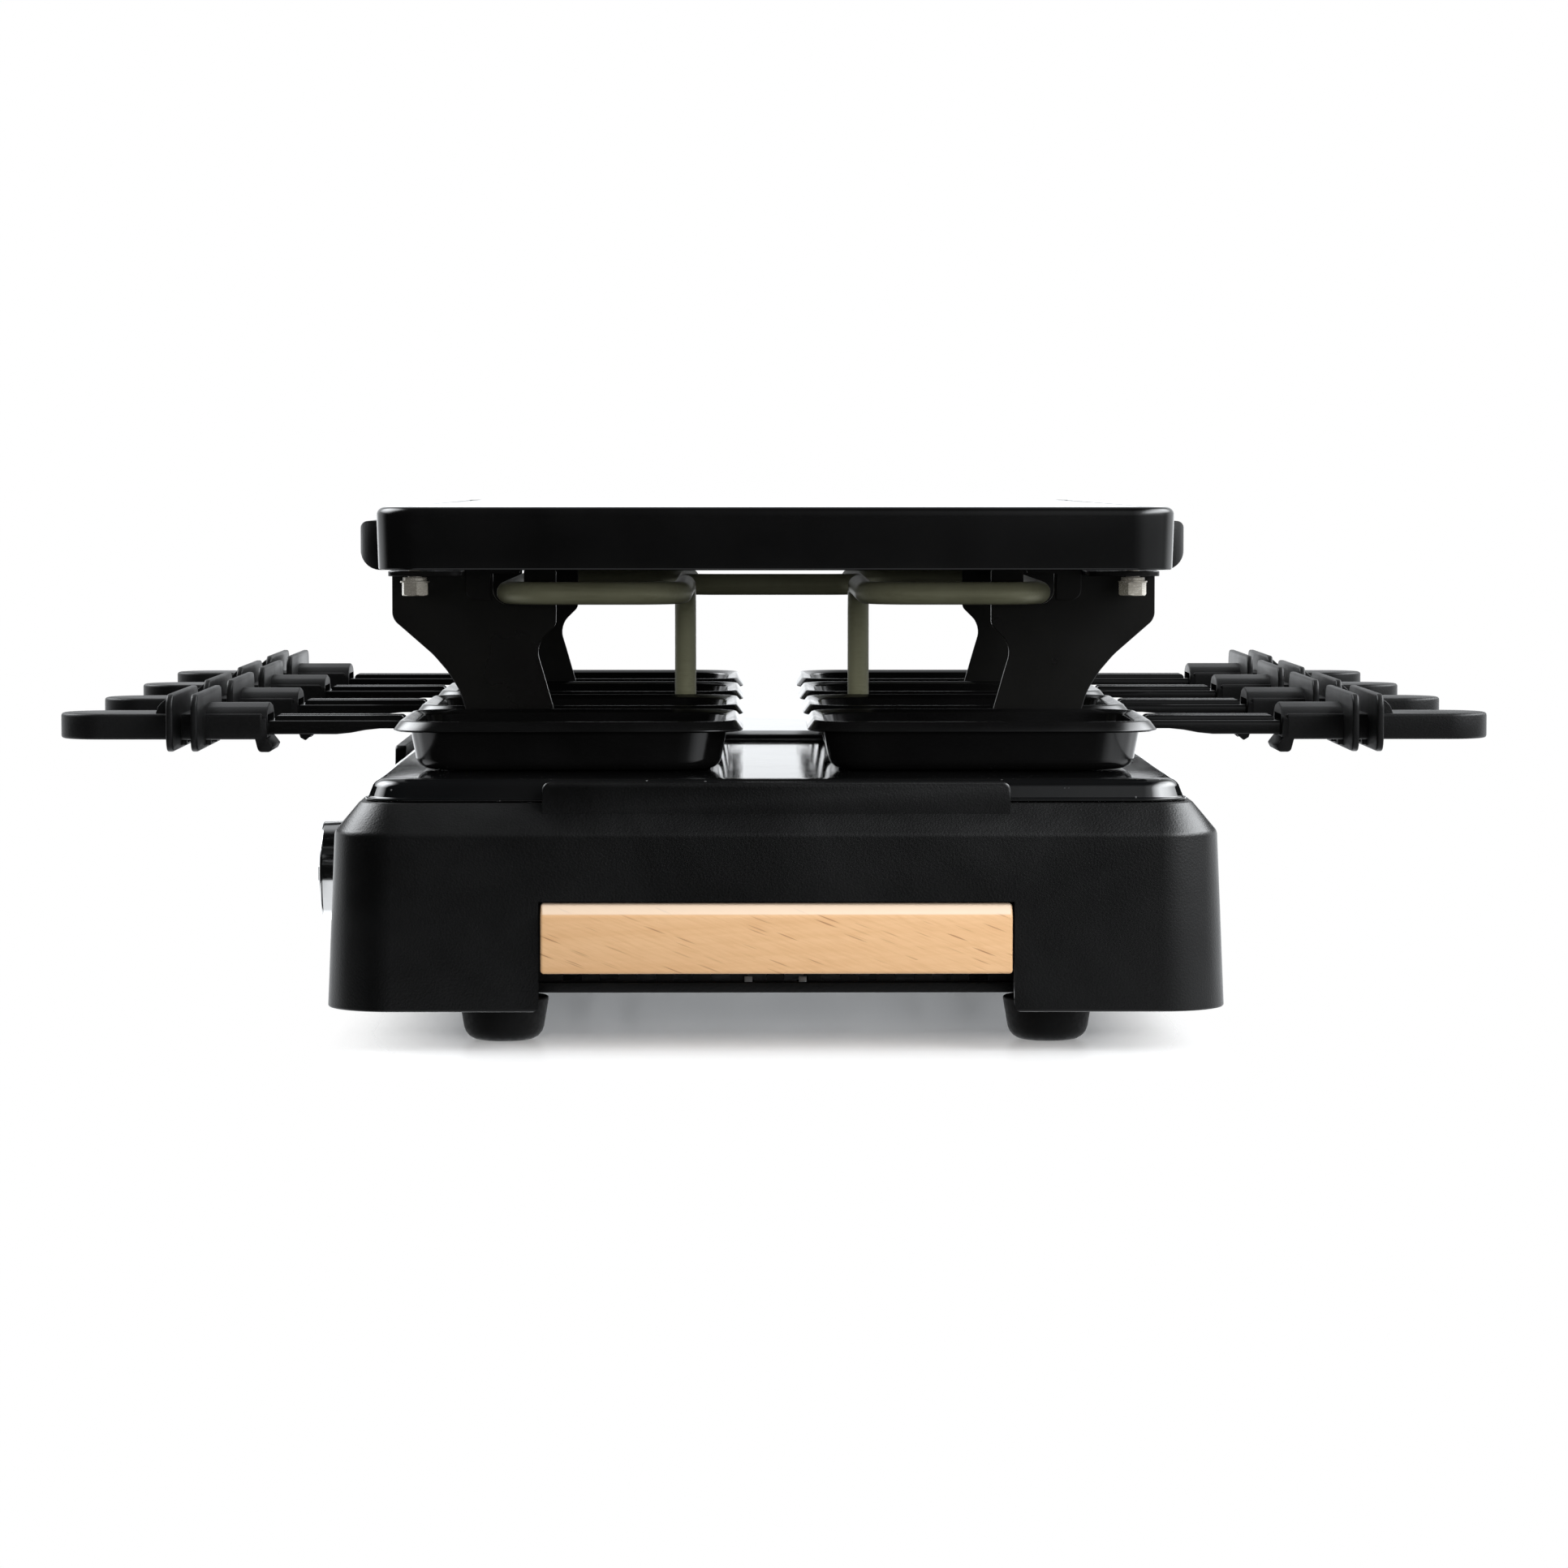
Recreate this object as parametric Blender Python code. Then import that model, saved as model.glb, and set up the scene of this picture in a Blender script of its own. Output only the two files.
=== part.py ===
"""Raclette grill with eight pans, built piece by piece. Lengths are in metres.

X runs across the grill, Y along its long sides and Z up. The origin is on the table,
under the middle of the grill.
"""

import math

import bmesh
import bpy
from mathutils import Matrix, Vector

# Gaps and overruns
GAP = 0.0003            # between pieces that rest on each other
SLIP = 0.0005           # round a pin, screw or shaft in its hole
OVERRUN = 0.002         # how far a cutter passes the face that it cuts
SINK = 0.0006           # how far two shapes of one solid run into each other
STEP_BACK = 0.00005     # keeps two shapes of one solid from sharing a plane
MERGE = 0.000002        # points closer than this are one point

# How finely round shapes are divided
CORNER_STEPS = 3
SMALL_SIDES = 8
ROUND_SIDES = 12
FOOT_SIDES = 12
KNOB_SIDES = 20
BOLT_SIDES = 6
EDGE_STEPS = 3
BEND_STEPS = 3

# Feet
FOOT_FROM_POCKET = 0.0107   # from the pocket's inner side to the foot's middle
FOOT_FROM_END = 0.0300
FOOT_HEIGHT = 0.0117
FOOT_TOP_RADIUS = 0.0112
FOOT_WAIST_RADIUS = 0.0100
FOOT_WAIST_HEIGHT = 0.0030
FOOT_FLAT_RADIUS = 0.0082
FOOT_EDGE = 0.0011
FOOT_STEM_RADIUS = 0.0030
FOOT_BARB_RADIUS = 0.0042
FOOT_BARB_HEIGHT = 0.0034

# Bottom cover
COVER_Z = FOOT_HEIGHT + GAP
COVER_THICKNESS = 0.0010
VENT_SIZE = 0.0050
VENT_PITCH = 0.0160
VENT_ROWS = 2
VENT_COLUMNS = 4
VENT_FIELD_X = 0.050
VENT_FIELD_Y = 0.120

# Housing
BASE_HALF_X = 0.11975
BASE_HALF_Y = 0.2350
BASE_CORNER = 0.0180
SKIRT_DROP = 0.0018     # how far the housing hangs below the cover's underside
HOUSING_HEIGHT = 0.0548
SIDE_DRAFT = 0.0020     # how far the sides lean in up to the shoulder
SHOULDER_HEIGHT = 0.0080
SHOULDER_IN = 0.00675
WALL = 0.0025
REBATE = 0.0010         # step in the wall above the bottom cover
LEDGE = 0.0060          # width of the rim under the deck
LEDGE_THICKNESS = 0.0026
HOUSING_Z = COVER_Z - SKIRT_DROP
RIM_Z = HOUSING_Z + HOUSING_HEIGHT
SHOULDER_Z = RIM_Z - SHOULDER_HEIGHT

# Deck tray
DECK_INSET = 0.0100     # from the housing's widest outline
DECK_CORNER = 0.0120
DECK_HEIGHT = 0.0057
DECK_EDGE = 0.0040
DECK_SHEET = 0.0010
DECK_HALF_X = BASE_HALF_X - DECK_INSET
DECK_HALF_Y = BASE_HALF_Y - DECK_INSET
DECK_Z = RIM_Z + GAP
DECK_TOP = DECK_Z + DECK_HEIGHT

# Raised tabs of the housing beside the deck, at both ends and over the knob
TAB_HALF = 0.0620
SIDE_TAB_HALF = 0.0400
TAB_RISE = 0.0056
TAB_ROOT = 0.0050
TAB_THICKNESS = 0.0033
TAB_EDGE = 0.0018

# Cut-out and finger pocket at both ends
POCKET_HALF = 0.0626
POCKET_HEIGHT = 0.0273  # above the bottom cover's underside
POCKET_DEPTH = 0.0450
POCKET_WALL = 0.0025
POCKET_SLOTS = 8
POCKET_SLOT_WIDTH = 0.0030
POCKET_SLOT_HEIGHT = 0.0180
POCKET_SLOT_PITCH = 0.0130
POCKET_SLOT_RISE = 0.0020
POCKET_TOP = COVER_Z + POCKET_HEIGHT
FOOT_X = POCKET_HALF + FOOT_FROM_POCKET
FOOT_Y = BASE_HALF_Y - FOOT_FROM_END

# Beech bars
BAR_HEIGHT = 0.0184
BAR_DEPTH = 0.0220
BAR_PROUD = 0.0010
BAR_TOP_GAP = 0.0005
BAR_BEVEL = 0.0030

# Long bolts that tie the deck to the bottom cover
TIE_FROM_SIDE = 0.02175
TIE_FROM_END = 0.0600
TIE_RADIUS = 0.0020
TIE_HEAD_RADIUS = 0.0038
TIE_HEAD_HEIGHT = 0.0018
TIE_NUT_RADIUS = 0.0046
TIE_NUT_HEIGHT = 0.0036
TIE_X = BASE_HALF_X - TIE_FROM_SIDE
TIE_Y = BASE_HALF_Y - TIE_FROM_END

# Pans
PAN_GAP = 0.0160        # between neighbours in a row
PAN_FROM_MIDDLE = 0.0087
PAN_HALF_X = 0.0480
PAN_HALF_Y = 0.0420
PAN_CORNER = 0.0140
PAN_HEIGHT = 0.0137
PAN_SHEET = 0.0012
LIP_DROP = 0.0028
LIP_WIDTH = 0.0040
PAN_DRAFT = 0.0026
PAN_BOTTOM_ROUND = 0.0034
PAN_PITCH = 2 * PAN_HALF_Y + PAN_GAP
PAN_X = PAN_HALF_X + PAN_FROM_MIDDLE
PAN_Z = DECK_TOP + GAP

# Folded tang of a pan, from the pan's centre
TANG_HALF = 0.0090
TANG_IN_BOWL = 0.0024   # how far the tang reaches into the lip
TANG_PAST_FIN = 0.0011
TANG_TOP = 0.0124
TANG_FLANGE = 0.0037
TANG_SHEET = 0.0012
RIDGE_OFFSET = 0.0042
RIDGE_HALF = 0.0013
RIDGE_HEIGHT = 0.0014
TANG_ROOT = PAN_HALF_X - TANG_IN_BOWL

# Pan handles, from the pan's centre and underside
HANDLE_FROM_BOWL = 0.0369
HANDLE_LENGTH = 0.0574
HANDLE_HALF = 0.0125
HANDLE_LOW = 0.0073
HANDLE_TOP = 0.0144
HUMP_TOP = 0.0173
HUMP_SPRING = 0.0125    # height where the arch leaves the sides
FIN_HALF = 0.0340
FIN_LOW = 0.0049
FIN_TOP = 0.0207
FIN_THICKNESS = 0.0019
FIN_CORNER = 0.0040
FIN_FROM_START = 0.0161
FIN_SPACING = 0.0067
THUMB_HALF = 0.0090
THUMB_REACH = 0.0053
THUMB_TOP = 0.0190
HEEL_LENGTH = 0.0020
HEEL_DROP = 0.0032
HANDLE_START = PAN_HALF_X + HANDLE_FROM_BOWL
HANDLE_END = HANDLE_START + HANDLE_LENGTH
FIN_INNER_X = HANDLE_START + FIN_FROM_START
FIN_OUTER_X = FIN_INNER_X + FIN_SPACING
TANG_END = FIN_INNER_X + TANG_PAST_FIN

# Grill plate's outline
PLATE_HALF_X = 0.1080
PLATE_HALF_Y = 0.2050
PLATE_CORNER = 0.0120

# Bolts that carry the plate, and the element's outer runs, from the plate's long side
BOLT_FROM_SIDE = 0.0055
RUN_FROM_SIDE = 0.0315
BOLT_X = PLATE_HALF_X - BOLT_FROM_SIDE
RUN_OUT = PLATE_HALF_X - RUN_FROM_SIDE

# Plate brackets, which stand between the pans
BRACKET_Y = PAN_PITCH
BRACKET_IN_OF_RUN = 0.0165
BRACKET_PAST_BOLT = 0.0075
BRACKET_IN = RUN_OUT - BRACKET_IN_OF_RUN
BRACKET_OUT = BOLT_X + BRACKET_PAST_BOLT
BRACKET_HEIGHT = 0.0532
BRACKET_SHEET = 0.0015
FLANGE_IN_OF_BOLT = 0.0135
BRACKET_FLANGE_IN = BOLT_X - FLANGE_IN_OF_BOLT
BRACKET_FLANGE_REACH = 0.0220
BRACKET_FOOT_REACH = 0.0090
BRACKET_FOOT_OUT_SHARE = 0.56
# Outline as shares of the width from BRACKET_IN to BRACKET_OUT and of the height
BRACKET_OUTLINE_SHARES = (
    (0.000, 0.000), (0.560, 0.000), (0.575, 0.240), (0.610, 0.340), (0.680, 0.447),
    (0.760, 0.540), (0.910, 0.660), (1.000, 0.730), (1.000, 1.000), (0.055, 1.000),
    (0.055, 0.700), (0.170, 0.565), (0.130, 0.447), (0.070, 0.240),
)
BRACKET_Z = DECK_TOP + GAP
BRACKET_TOP = BRACKET_Z + BRACKET_HEIGHT
NOTCH_FLOOR = 0.0432    # above the bracket's foot
NOTCH_HALF = 0.00445

# Bolts in the brackets' top flanges
BOLT_PAST_BRACKET = 0.0150
BOLT_Y = BRACKET_Y + BOLT_PAST_BRACKET
BOLT_RADIUS = 0.0020
BOLT_HEAD_RADIUS = 0.00404
BOLT_HEAD_HEIGHT = 0.0038
BOLT_PIN = 0.0085       # length above the flange
WASHER_RADIUS = 0.0036
WASHER_THICKNESS = 0.0015

# Clips over the element
CLIP_SHEET = 0.0010
CLIP_IN_OF_RUN = 0.0035
CLIP_STEM_PAST_RUN = 0.0050
CLIP_WIDTH = 0.0157
CLIP_HEIGHT = 0.0092
CLIP_FINGER = 0.0016
CLIP_ABOVE = 0.0005     # how far the clip stands above the bracket's top
CLIP_CORNER = 0.0030
CLIP_IN = RUN_OUT - CLIP_IN_OF_RUN
CLIP_STEM_IN = RUN_OUT + CLIP_STEM_PAST_RUN
CLIP_OUT = CLIP_IN + CLIP_WIDTH

# Heating element
TUBE_RADIUS = 0.00325
RUN_IN = 0.0265
LOOP_PAST_BRACKET = 0.01675
LOOP_END = BRACKET_Y + LOOP_PAST_BRACKET
LEG_Y = 0.0035
CROSS_Y = 0.0050
LOOP_BEND = 0.0140
LEG_BEND = 0.0090
ELEMENT_Z = BRACKET_Z + NOTCH_FLOOR + GAP + TUBE_RADIUS
LEG_BELOW_DECK = 0.0200
TERMINAL_RADIUS = 0.0014
TERMINAL_LENGTH = 0.0080

# Low plate round the element's legs
LEG_PLATE_HALF_X = 0.0400
LEG_PLATE_HALF_Y = 0.0140
LEG_PLATE_THICKNESS = 0.0012
LEG_PLATE_CORNER = 0.0040

# Grill plate, the rest of it
PLATE_HEIGHT = 0.0170
PLATE_EDGE = 0.0035
PLATE_DRAFT = 0.0006
PLATE_WALL = 0.0050
PLATE_FLOOR = 0.0066    # thickness under the cooking surface
PAD_DROP = 0.0014       # how far the pads reach below the plate's skirt
PAD_RADIUS = 0.0048
PIN_HOLE_DEPTH = 0.0110
GROOVE_INSET = 0.0050   # drain groove round the cooking surface
GROOVE_WIDTH = 0.0040
GROOVE_DRAFT = 0.0008
GROOVE_DEPTH = 0.0016
CHANNEL_PITCH = 0.0140  # channels between the ribs of the rear half
CHANNEL_WIDTH = 0.0048
CHANNEL_FLOOR = 0.0032
CHANNEL_DEPTH = 0.0013
CHANNEL_START = 0.0100
PLATE_Z = BRACKET_TOP + GAP + PAD_DROP
PLATE_TOP = PLATE_Z + PLATE_HEIGHT

# Grips on the plate
GRIP_HALF = 0.0400
GRIP_REACH = 0.0157
GRIP_DROP = 0.0029      # below the plate's skirt
GRIP_HEIGHT = 0.0147
GRIP_LOWER_ROUND = 0.0060
GRIP_UPPER_ROUND = 0.0025
GRIP_CORNER = 0.0070
LUG_HALF = 0.0160
LUG_REACH = 0.0090
LUG_RISE = 0.0028
LUG_THICKNESS = 0.0050
GRIP_SCREW_RADIUS = 0.0015
GRIP_SCREW_HEAD_RADIUS = 0.0029
GRIP_SCREW_HEAD_HEIGHT = 0.0018
GRIP_SCREW_RECESS = 0.0025

# Knob and thermostat
KNOB_RISE = 0.0180      # above the bottom cover's underside
KNOB_RADIUS = 0.0156
KNOB_FACE_RADIUS = 0.0146
KNOB_REACH = 0.0193     # from the housing's widest side to the knob's face
KNOB_DOME = 0.0008
KNOB_EDGE = 0.0012
KNOB_RECESS_RADIUS = 0.0093
KNOB_RECESS = 0.0045
KNOB_BAR_HALF = 0.0120
KNOB_BAR_WIDTH = 0.0042
KNOB_BAR_RISE = 0.0020
KNOB_CROWN = 0.0030     # material between the shaft's end and the face
SHAFT_RADIUS = 0.0030
BUSH_RADIUS = 0.0045
BUSH_REACH = 0.0024
SHAFT_DEPTH = 0.0080
THERMOSTAT_HALF_Y = 0.0160
THERMOSTAT_HALF_Z = 0.0120
THERMOSTAT_DEPTH = 0.0190
THERMOSTAT_NUT_RADIUS = 0.0070
THERMOSTAT_NUT_HEIGHT = 0.0022
KNOB_Z = COVER_Z + KNOB_RISE

# Pilot lamp and cord inlet on the knob's side
LAMP_Y = 0.0360
LAMP_RADIUS = 0.0040
LAMP_PROUD = 0.0014
LAMP_STEM_RADIUS = 0.0030
LAMP_STEM = 0.0120
GLAND_FROM_END = 0.0700
GLAND_RISE = 0.0120
GLAND_RADIUS = 0.0080
GLAND_PROUD = 0.0020
GLAND_SLEEVE_RADIUS = 0.0060
GLAND_BORE_RADIUS = 0.0038
GLAND_SLEEVE = 0.0120
GLAND_Y = BASE_HALF_Y - GLAND_FROM_END
GLAND_Z = COVER_Z + GLAND_RISE

# Terminal block and inner leads
BLOCK_FROM_SIDE = 0.05975
BLOCK_FROM_GLAND = 0.0170
BLOCK_HALF_X = 0.0150
BLOCK_HALF_Y = 0.0080
BLOCK_HEIGHT = 0.0140
LEAD_RADIUS = 0.0011
LEAD_SPACING = 0.0060
LEAD_SAG = 0.0120
BLOCK_X = BLOCK_FROM_SIDE - BASE_HALF_X
BLOCK_Y = GLAND_Y - BLOCK_FROM_GLAND

# Colour, roughness and metallic of each finish
FINISHES = {
    "moulded_black": ((0.012, 0.012, 0.013), 0.62, 0.0),
    "enamel_black": ((0.006, 0.006, 0.008), 0.12, 0.0),
    "galvanised": ((0.42, 0.43, 0.44), 0.42, 0.9),
    "beech": ((0.62, 0.40, 0.22), 0.55, 0.0),
    "rubber_black": ((0.010, 0.010, 0.010), 0.75, 0.0),
    "painted_black": ((0.010, 0.010, 0.011), 0.38, 0.0),
    "zinc": ((0.55, 0.55, 0.56), 0.35, 1.0),
    "element_olive": ((0.085, 0.083, 0.068), 0.45, 0.6),
    "nonstick": ((0.010, 0.010, 0.011), 0.34, 0.0),
    "pan_coating": ((0.009, 0.009, 0.010), 0.36, 0.0),
    "handle_black": ((0.012, 0.012, 0.013), 0.55, 0.0),
    "chrome": ((0.80, 0.80, 0.82), 0.12, 1.0),
    "ceramic": ((0.78, 0.76, 0.70), 0.50, 0.0),
    "brass": ((0.70, 0.52, 0.24), 0.35, 1.0),
    "phenolic": ((0.030, 0.022, 0.018), 0.50, 0.0),
    "lens_amber": ((0.75, 0.28, 0.04), 0.20, 0.0),
    "lead_sleeve": ((0.32, 0.30, 0.26), 0.70, 0.0),
}


# Mesh helpers

def clear_scene():
    for old in list(bpy.data.objects):
        bpy.data.objects.remove(old)


def mesh_from(bm, name):
    mesh = bpy.data.meshes.new(name)
    bm.to_mesh(mesh)
    bm.free()
    return mesh


def outward(bm):
    """Turn every face of a closed shape outwards."""
    bmesh.ops.recalc_face_normals(bm, faces=bm.faces)
    if bm.calc_volume(signed=True) < 0:
        bmesh.ops.reverse_faces(bm, faces=bm.faces)
    return bm


def box(low, high):
    """A block between two opposite corners."""
    bm = bmesh.new()
    size = [b - a for a, b in zip(low, high)]
    middle = [(a + b) / 2 for a, b in zip(low, high)]
    bmesh.ops.create_cube(bm, size=1, matrix=Matrix.Translation(middle) @ Matrix.Diagonal((*size, 1)))
    return outward(bm)


PLANES = {
    "X": lambda u, v, w: (w, u, v),
    "Y": lambda u, v, w: (u, w, v),
    "Z": lambda u, v, w: (u, v, w),
}


def prism(outline, axis, low, high):
    """An outline in the two other axes, pulled along the named axis from low to high."""
    place = PLANES[axis]
    bm = bmesh.new()
    face = bm.faces.new([bm.verts.new(place(u, v, low)) for u, v in outline])
    grown = bmesh.ops.extrude_face_region(bm, geom=[face])
    far_side = [item for item in grown["geom"] if isinstance(item, bmesh.types.BMVert)]
    bmesh.ops.translate(bm, verts=far_side, vec=Vector(place(0, 0, high - low)))
    return outward(bm)


def arc(centre, radius, start, end, steps):
    """Points of an arc, both ends included, angles in degrees."""
    points = []
    for step in range(steps + 1):
        angle = math.radians(start + (end - start) * step / steps)
        points.append((centre[0] + radius * math.cos(angle), centre[1] + radius * math.sin(angle)))
    return points


def rounded(half_u, half_v, corner, steps=CORNER_STEPS):
    """Outline of a rectangle about the origin with round corners."""
    outline = []
    for quarter, (u, v) in enumerate(((1, 1), (-1, 1), (-1, -1), (1, -1))):
        centre = (u * (half_u - corner), v * (half_v - corner))
        outline += arc(centre, corner, 90 * quarter, 90 * quarter + 90, steps)
    return outline


def ring(half_x, half_y, corner, z):
    return [(x, y, z) for x, y in rounded(half_x, half_y, corner)]


def loft(rings, closed=False):
    """A skin through rings of equal counts, closed on itself or capped at both ends."""
    bm = bmesh.new()
    verts = [bm.verts.new(point) for point in rings[0]]
    edges = [bm.edges.new(pair) for pair in zip(verts, verts[1:] + verts[:1])]
    if not closed:
        bmesh.ops.contextual_create(bm, geom=edges)
    for points in rings[1:] + (rings[:1] if closed else []):
        grown = set(bmesh.ops.extrude_edge_only(bm, edges=edges)["geom"])
        verts = [next(edge.other_vert(vert) for edge in vert.link_edges if edge.other_vert(vert) in grown)
                 for vert in verts]
        for vert, point in zip(verts, points):
            vert.co = point
        edges = [bm.edges.get(pair) for pair in zip(verts, verts[1:] + verts[:1])]
    if closed:
        bmesh.ops.remove_doubles(bm, verts=bm.verts, dist=MERGE)
    else:
        bmesh.ops.contextual_create(bm, geom=edges)
    return outward(bm)


def turned(profile, sides):
    """Spin (radius, height) points round Z: closed at the axis, or a ring."""
    bm = bmesh.new()
    verts = [bm.verts.new((radius, 0, height)) for radius, height in profile]
    edges = [bm.edges.new(pair) for pair in zip(verts, verts[1:])]
    if profile[0][0] > 0:
        edges.append(bm.edges.new((verts[-1], verts[0])))
    bmesh.ops.spin(bm, geom=verts + edges, axis=(0, 0, 1), cent=(0, 0, 0),
                   angle=math.tau, steps=sides, use_merge=True)
    bmesh.ops.remove_doubles(bm, verts=bm.verts, dist=MERGE)
    return outward(bm)


def rod(radius, low, high, sides=SMALL_SIDES):
    return turned([(0, low), (radius, low), (radius, high), (0, high)], sides)


def moved(bm, x=0.0, y=0.0, z=0.0):
    bmesh.ops.translate(bm, verts=bm.verts, vec=(x, y, z))
    return bm


def rotated(bm, degrees, axis):
    turn = Matrix.Rotation(math.radians(degrees), 3, axis)
    bmesh.ops.rotate(bm, verts=bm.verts, cent=(0, 0, 0), matrix=turn)
    return bm


def flipped(bm, side, end):
    """A copy of a piece made for +X and +Y, taken to another quarter of the grill."""
    copy = bm.copy()
    bmesh.ops.scale(copy, verts=copy.verts, vec=(side, end, 1))
    return outward(copy)


def joined(parts):
    """Separate solids in one mesh."""
    whole = bmesh.new()
    for part in parts:
        mesh = mesh_from(part, "part")
        whole.from_mesh(mesh)
        bpy.data.meshes.remove(mesh)
    return whole


def boolean(body, tool, operation):
    """The exact Boolean of two closed meshes."""
    pieces = []
    for bm in (body, tool):
        piece = bpy.data.objects.new("piece", mesh_from(bm, "piece"))
        bpy.context.scene.collection.objects.link(piece)
        pieces.append(piece)
    modifier = pieces[0].modifiers.new("boolean", "BOOLEAN")
    modifier.solver = "EXACT"
    modifier.operation = operation
    modifier.object = pieces[1]
    graph = bpy.context.evaluated_depsgraph_get()
    result = bpy.data.meshes.new_from_object(pieces[0].evaluated_get(graph))
    bm = bmesh.new()
    bm.from_mesh(result)
    bpy.data.meshes.remove(result)
    for piece in pieces:
        mesh = piece.data
        bpy.data.objects.remove(piece)
        bpy.data.meshes.remove(mesh)
    bmesh.ops.remove_doubles(bm, verts=bm.verts, dist=MERGE)
    return bm


def cut(body, *cutters):
    return boolean(body, joined(cutters), "DIFFERENCE")


def fused(body, *others):
    for other in others:
        body = boolean(body, other, "UNION")
    return body


# Scene helpers

def axis_empty(name, place=(0, 0, 0), turn=0):
    """The frame of one moving group; its pieces are its children."""
    empty = bpy.data.objects.new(name, None)
    empty.location = place
    empty.rotation_euler = (0, 0, math.radians(turn))
    bpy.context.scene.collection.objects.link(empty)
    return empty


def finish_material(name, finish):
    colour, roughness, metallic = FINISHES[finish]
    material = bpy.data.materials.new(name)
    material.use_nodes = True
    shader = material.node_tree.nodes["Principled BSDF"]
    shader.inputs["Base Color"].default_value = (*colour, 1)
    shader.inputs["Roughness"].default_value = roughness
    shader.inputs["Metallic"].default_value = metallic
    return material


def place_object(name, data, parent):
    item = bpy.data.objects.new(name, data)
    item.parent = parent
    bpy.context.scene.collection.objects.link(item)
    return item


def node(name, bm, finish, parent):
    """One named piece, modelled in the frame of its parent."""
    mesh = mesh_from(bm, name)
    mesh.materials.clear()
    mesh.materials.append(finish_material(name, finish))
    mesh.shade_smooth()
    mesh.set_sharp_from_angle(angle=math.radians(35))
    return place_object(name, mesh, parent)


def tube_node(name, route, radius, finish, parent):
    """A round tube along a list of points, as a curve with filled ends."""
    curve = bpy.data.curves.new(name, "CURVE")
    curve.dimensions = "3D"
    curve.bevel_depth = radius
    curve.bevel_resolution = 2
    curve.use_fill_caps = True
    curve.materials.append(finish_material(name, finish))
    spline = curve.splines.new("POLY")
    spline.points.add(len(route) - 1)
    for point, place in zip(spline.points, route):
        point.co = (*place, 1)
    return place_object(name, curve, parent)


def bent(corners, bends):
    """A route through corner points, each corner rounded to its bend radius."""
    route = [Vector(corners[0])]
    for before, corner, after, radius in zip(corners, corners[1:], corners[2:], bends):
        corner = Vector(corner)
        back = (Vector(before) - corner).normalized()
        ahead = (Vector(after) - corner).normalized()
        reach = radius / math.tan(back.angle(ahead) / 2)
        centre = corner + (back + ahead).normalized() * (radius / math.sin(back.angle(ahead) / 2))
        start = corner + back * reach - centre
        end = corner + ahead * reach - centre
        sweep = start.angle(end)
        for step in range(BEND_STEPS + 1):
            share = step / BEND_STEPS
            spoke = start * math.sin((1 - share) * sweep) + end * math.sin(share * sweep)
            route.append(centre + spoke / math.sin(sweep))
    route.append(Vector(corners[-1]))
    return route


def screw(head_radius, head_height, radius, reach, sides=BOLT_SIDES):
    """A screw whose head lies below the origin and whose shank points up."""
    return turned([(0, -head_height), (head_radius, -head_height), (head_radius, 0),
                   (radius, 0), (radius, reach), (0, reach)], sides)


def collar(inner, outer, low, high, sides=SMALL_SIDES):
    """A ring such as a nut or washer."""
    return turned([(inner, low), (outer, low), (outer, high), (inner, high)], sides)


QUARTERS = ((-1, -1), (1, -1), (-1, 1), (1, 1))


# Housing and bottom cover

def base_shell():
    """The moulded wall: outer face up, ledge inwards, inner face down to the rebate."""
    shoulder_x = BASE_HALF_X - SIDE_DRAFT
    shoulder_y = BASE_HALF_Y - SIDE_DRAFT
    rim_x = shoulder_x - SHOULDER_IN
    rim_y = shoulder_y - SHOULDER_IN
    step_z = COVER_Z + COVER_THICKNESS + GAP
    under_shoulder = SHOULDER_Z - WALL / 2
    rebate = WALL + REBATE
    return loft([
        ring(BASE_HALF_X, BASE_HALF_Y, BASE_CORNER, HOUSING_Z),
        ring(shoulder_x, shoulder_y, BASE_CORNER - SIDE_DRAFT, SHOULDER_Z),
        ring(rim_x, rim_y, BASE_CORNER - SHOULDER_IN, RIM_Z),
        ring(rim_x - LEDGE, rim_y - LEDGE, BASE_CORNER - SHOULDER_IN - LEDGE, RIM_Z),
        ring(rim_x - LEDGE, rim_y - LEDGE, BASE_CORNER - SHOULDER_IN - LEDGE, RIM_Z - LEDGE_THICKNESS),
        ring(shoulder_x - WALL, shoulder_y - WALL, BASE_CORNER - SIDE_DRAFT - WALL, under_shoulder),
        ring(BASE_HALF_X - rebate, BASE_HALF_Y - rebate, BASE_CORNER - rebate, step_z),
        ring(BASE_HALF_X - WALL, BASE_HALF_Y - WALL, BASE_CORNER - WALL, step_z),
        ring(BASE_HALF_X - WALL, BASE_HALF_Y - WALL, BASE_CORNER - WALL, HOUSING_Z),
    ], closed=True)


def side_x(z):
    """Where the housing's outer long side is at a height below the shoulder."""
    return BASE_HALF_X - SIDE_DRAFT * (z - HOUSING_Z) / (SHOULDER_Z - HOUSING_Z)


POCKET_BACK = BASE_HALF_Y - POCKET_DEPTH
BAR_TOP = POCKET_TOP - BAR_TOP_GAP
BAR_FRONT = BASE_HALF_Y + BAR_PROUD


def pocket_block():
    """The pocket's outer block for the +Y end, before it is hollowed."""
    outer = POCKET_HALF + POCKET_WALL
    low_z = COVER_Z + COVER_THICKNESS + GAP
    inside_wall = BASE_HALF_Y - SIDE_DRAFT - WALL / 2
    return box((-outer, POCKET_BACK - POCKET_WALL, low_z), (outer, inside_wall, POCKET_TOP + POCKET_WALL))


def pocket_room():
    return box((-POCKET_HALF, POCKET_BACK, HOUSING_Z - OVERRUN),
               (POCKET_HALF, BASE_HALF_Y + OVERRUN, POCKET_TOP))


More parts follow.
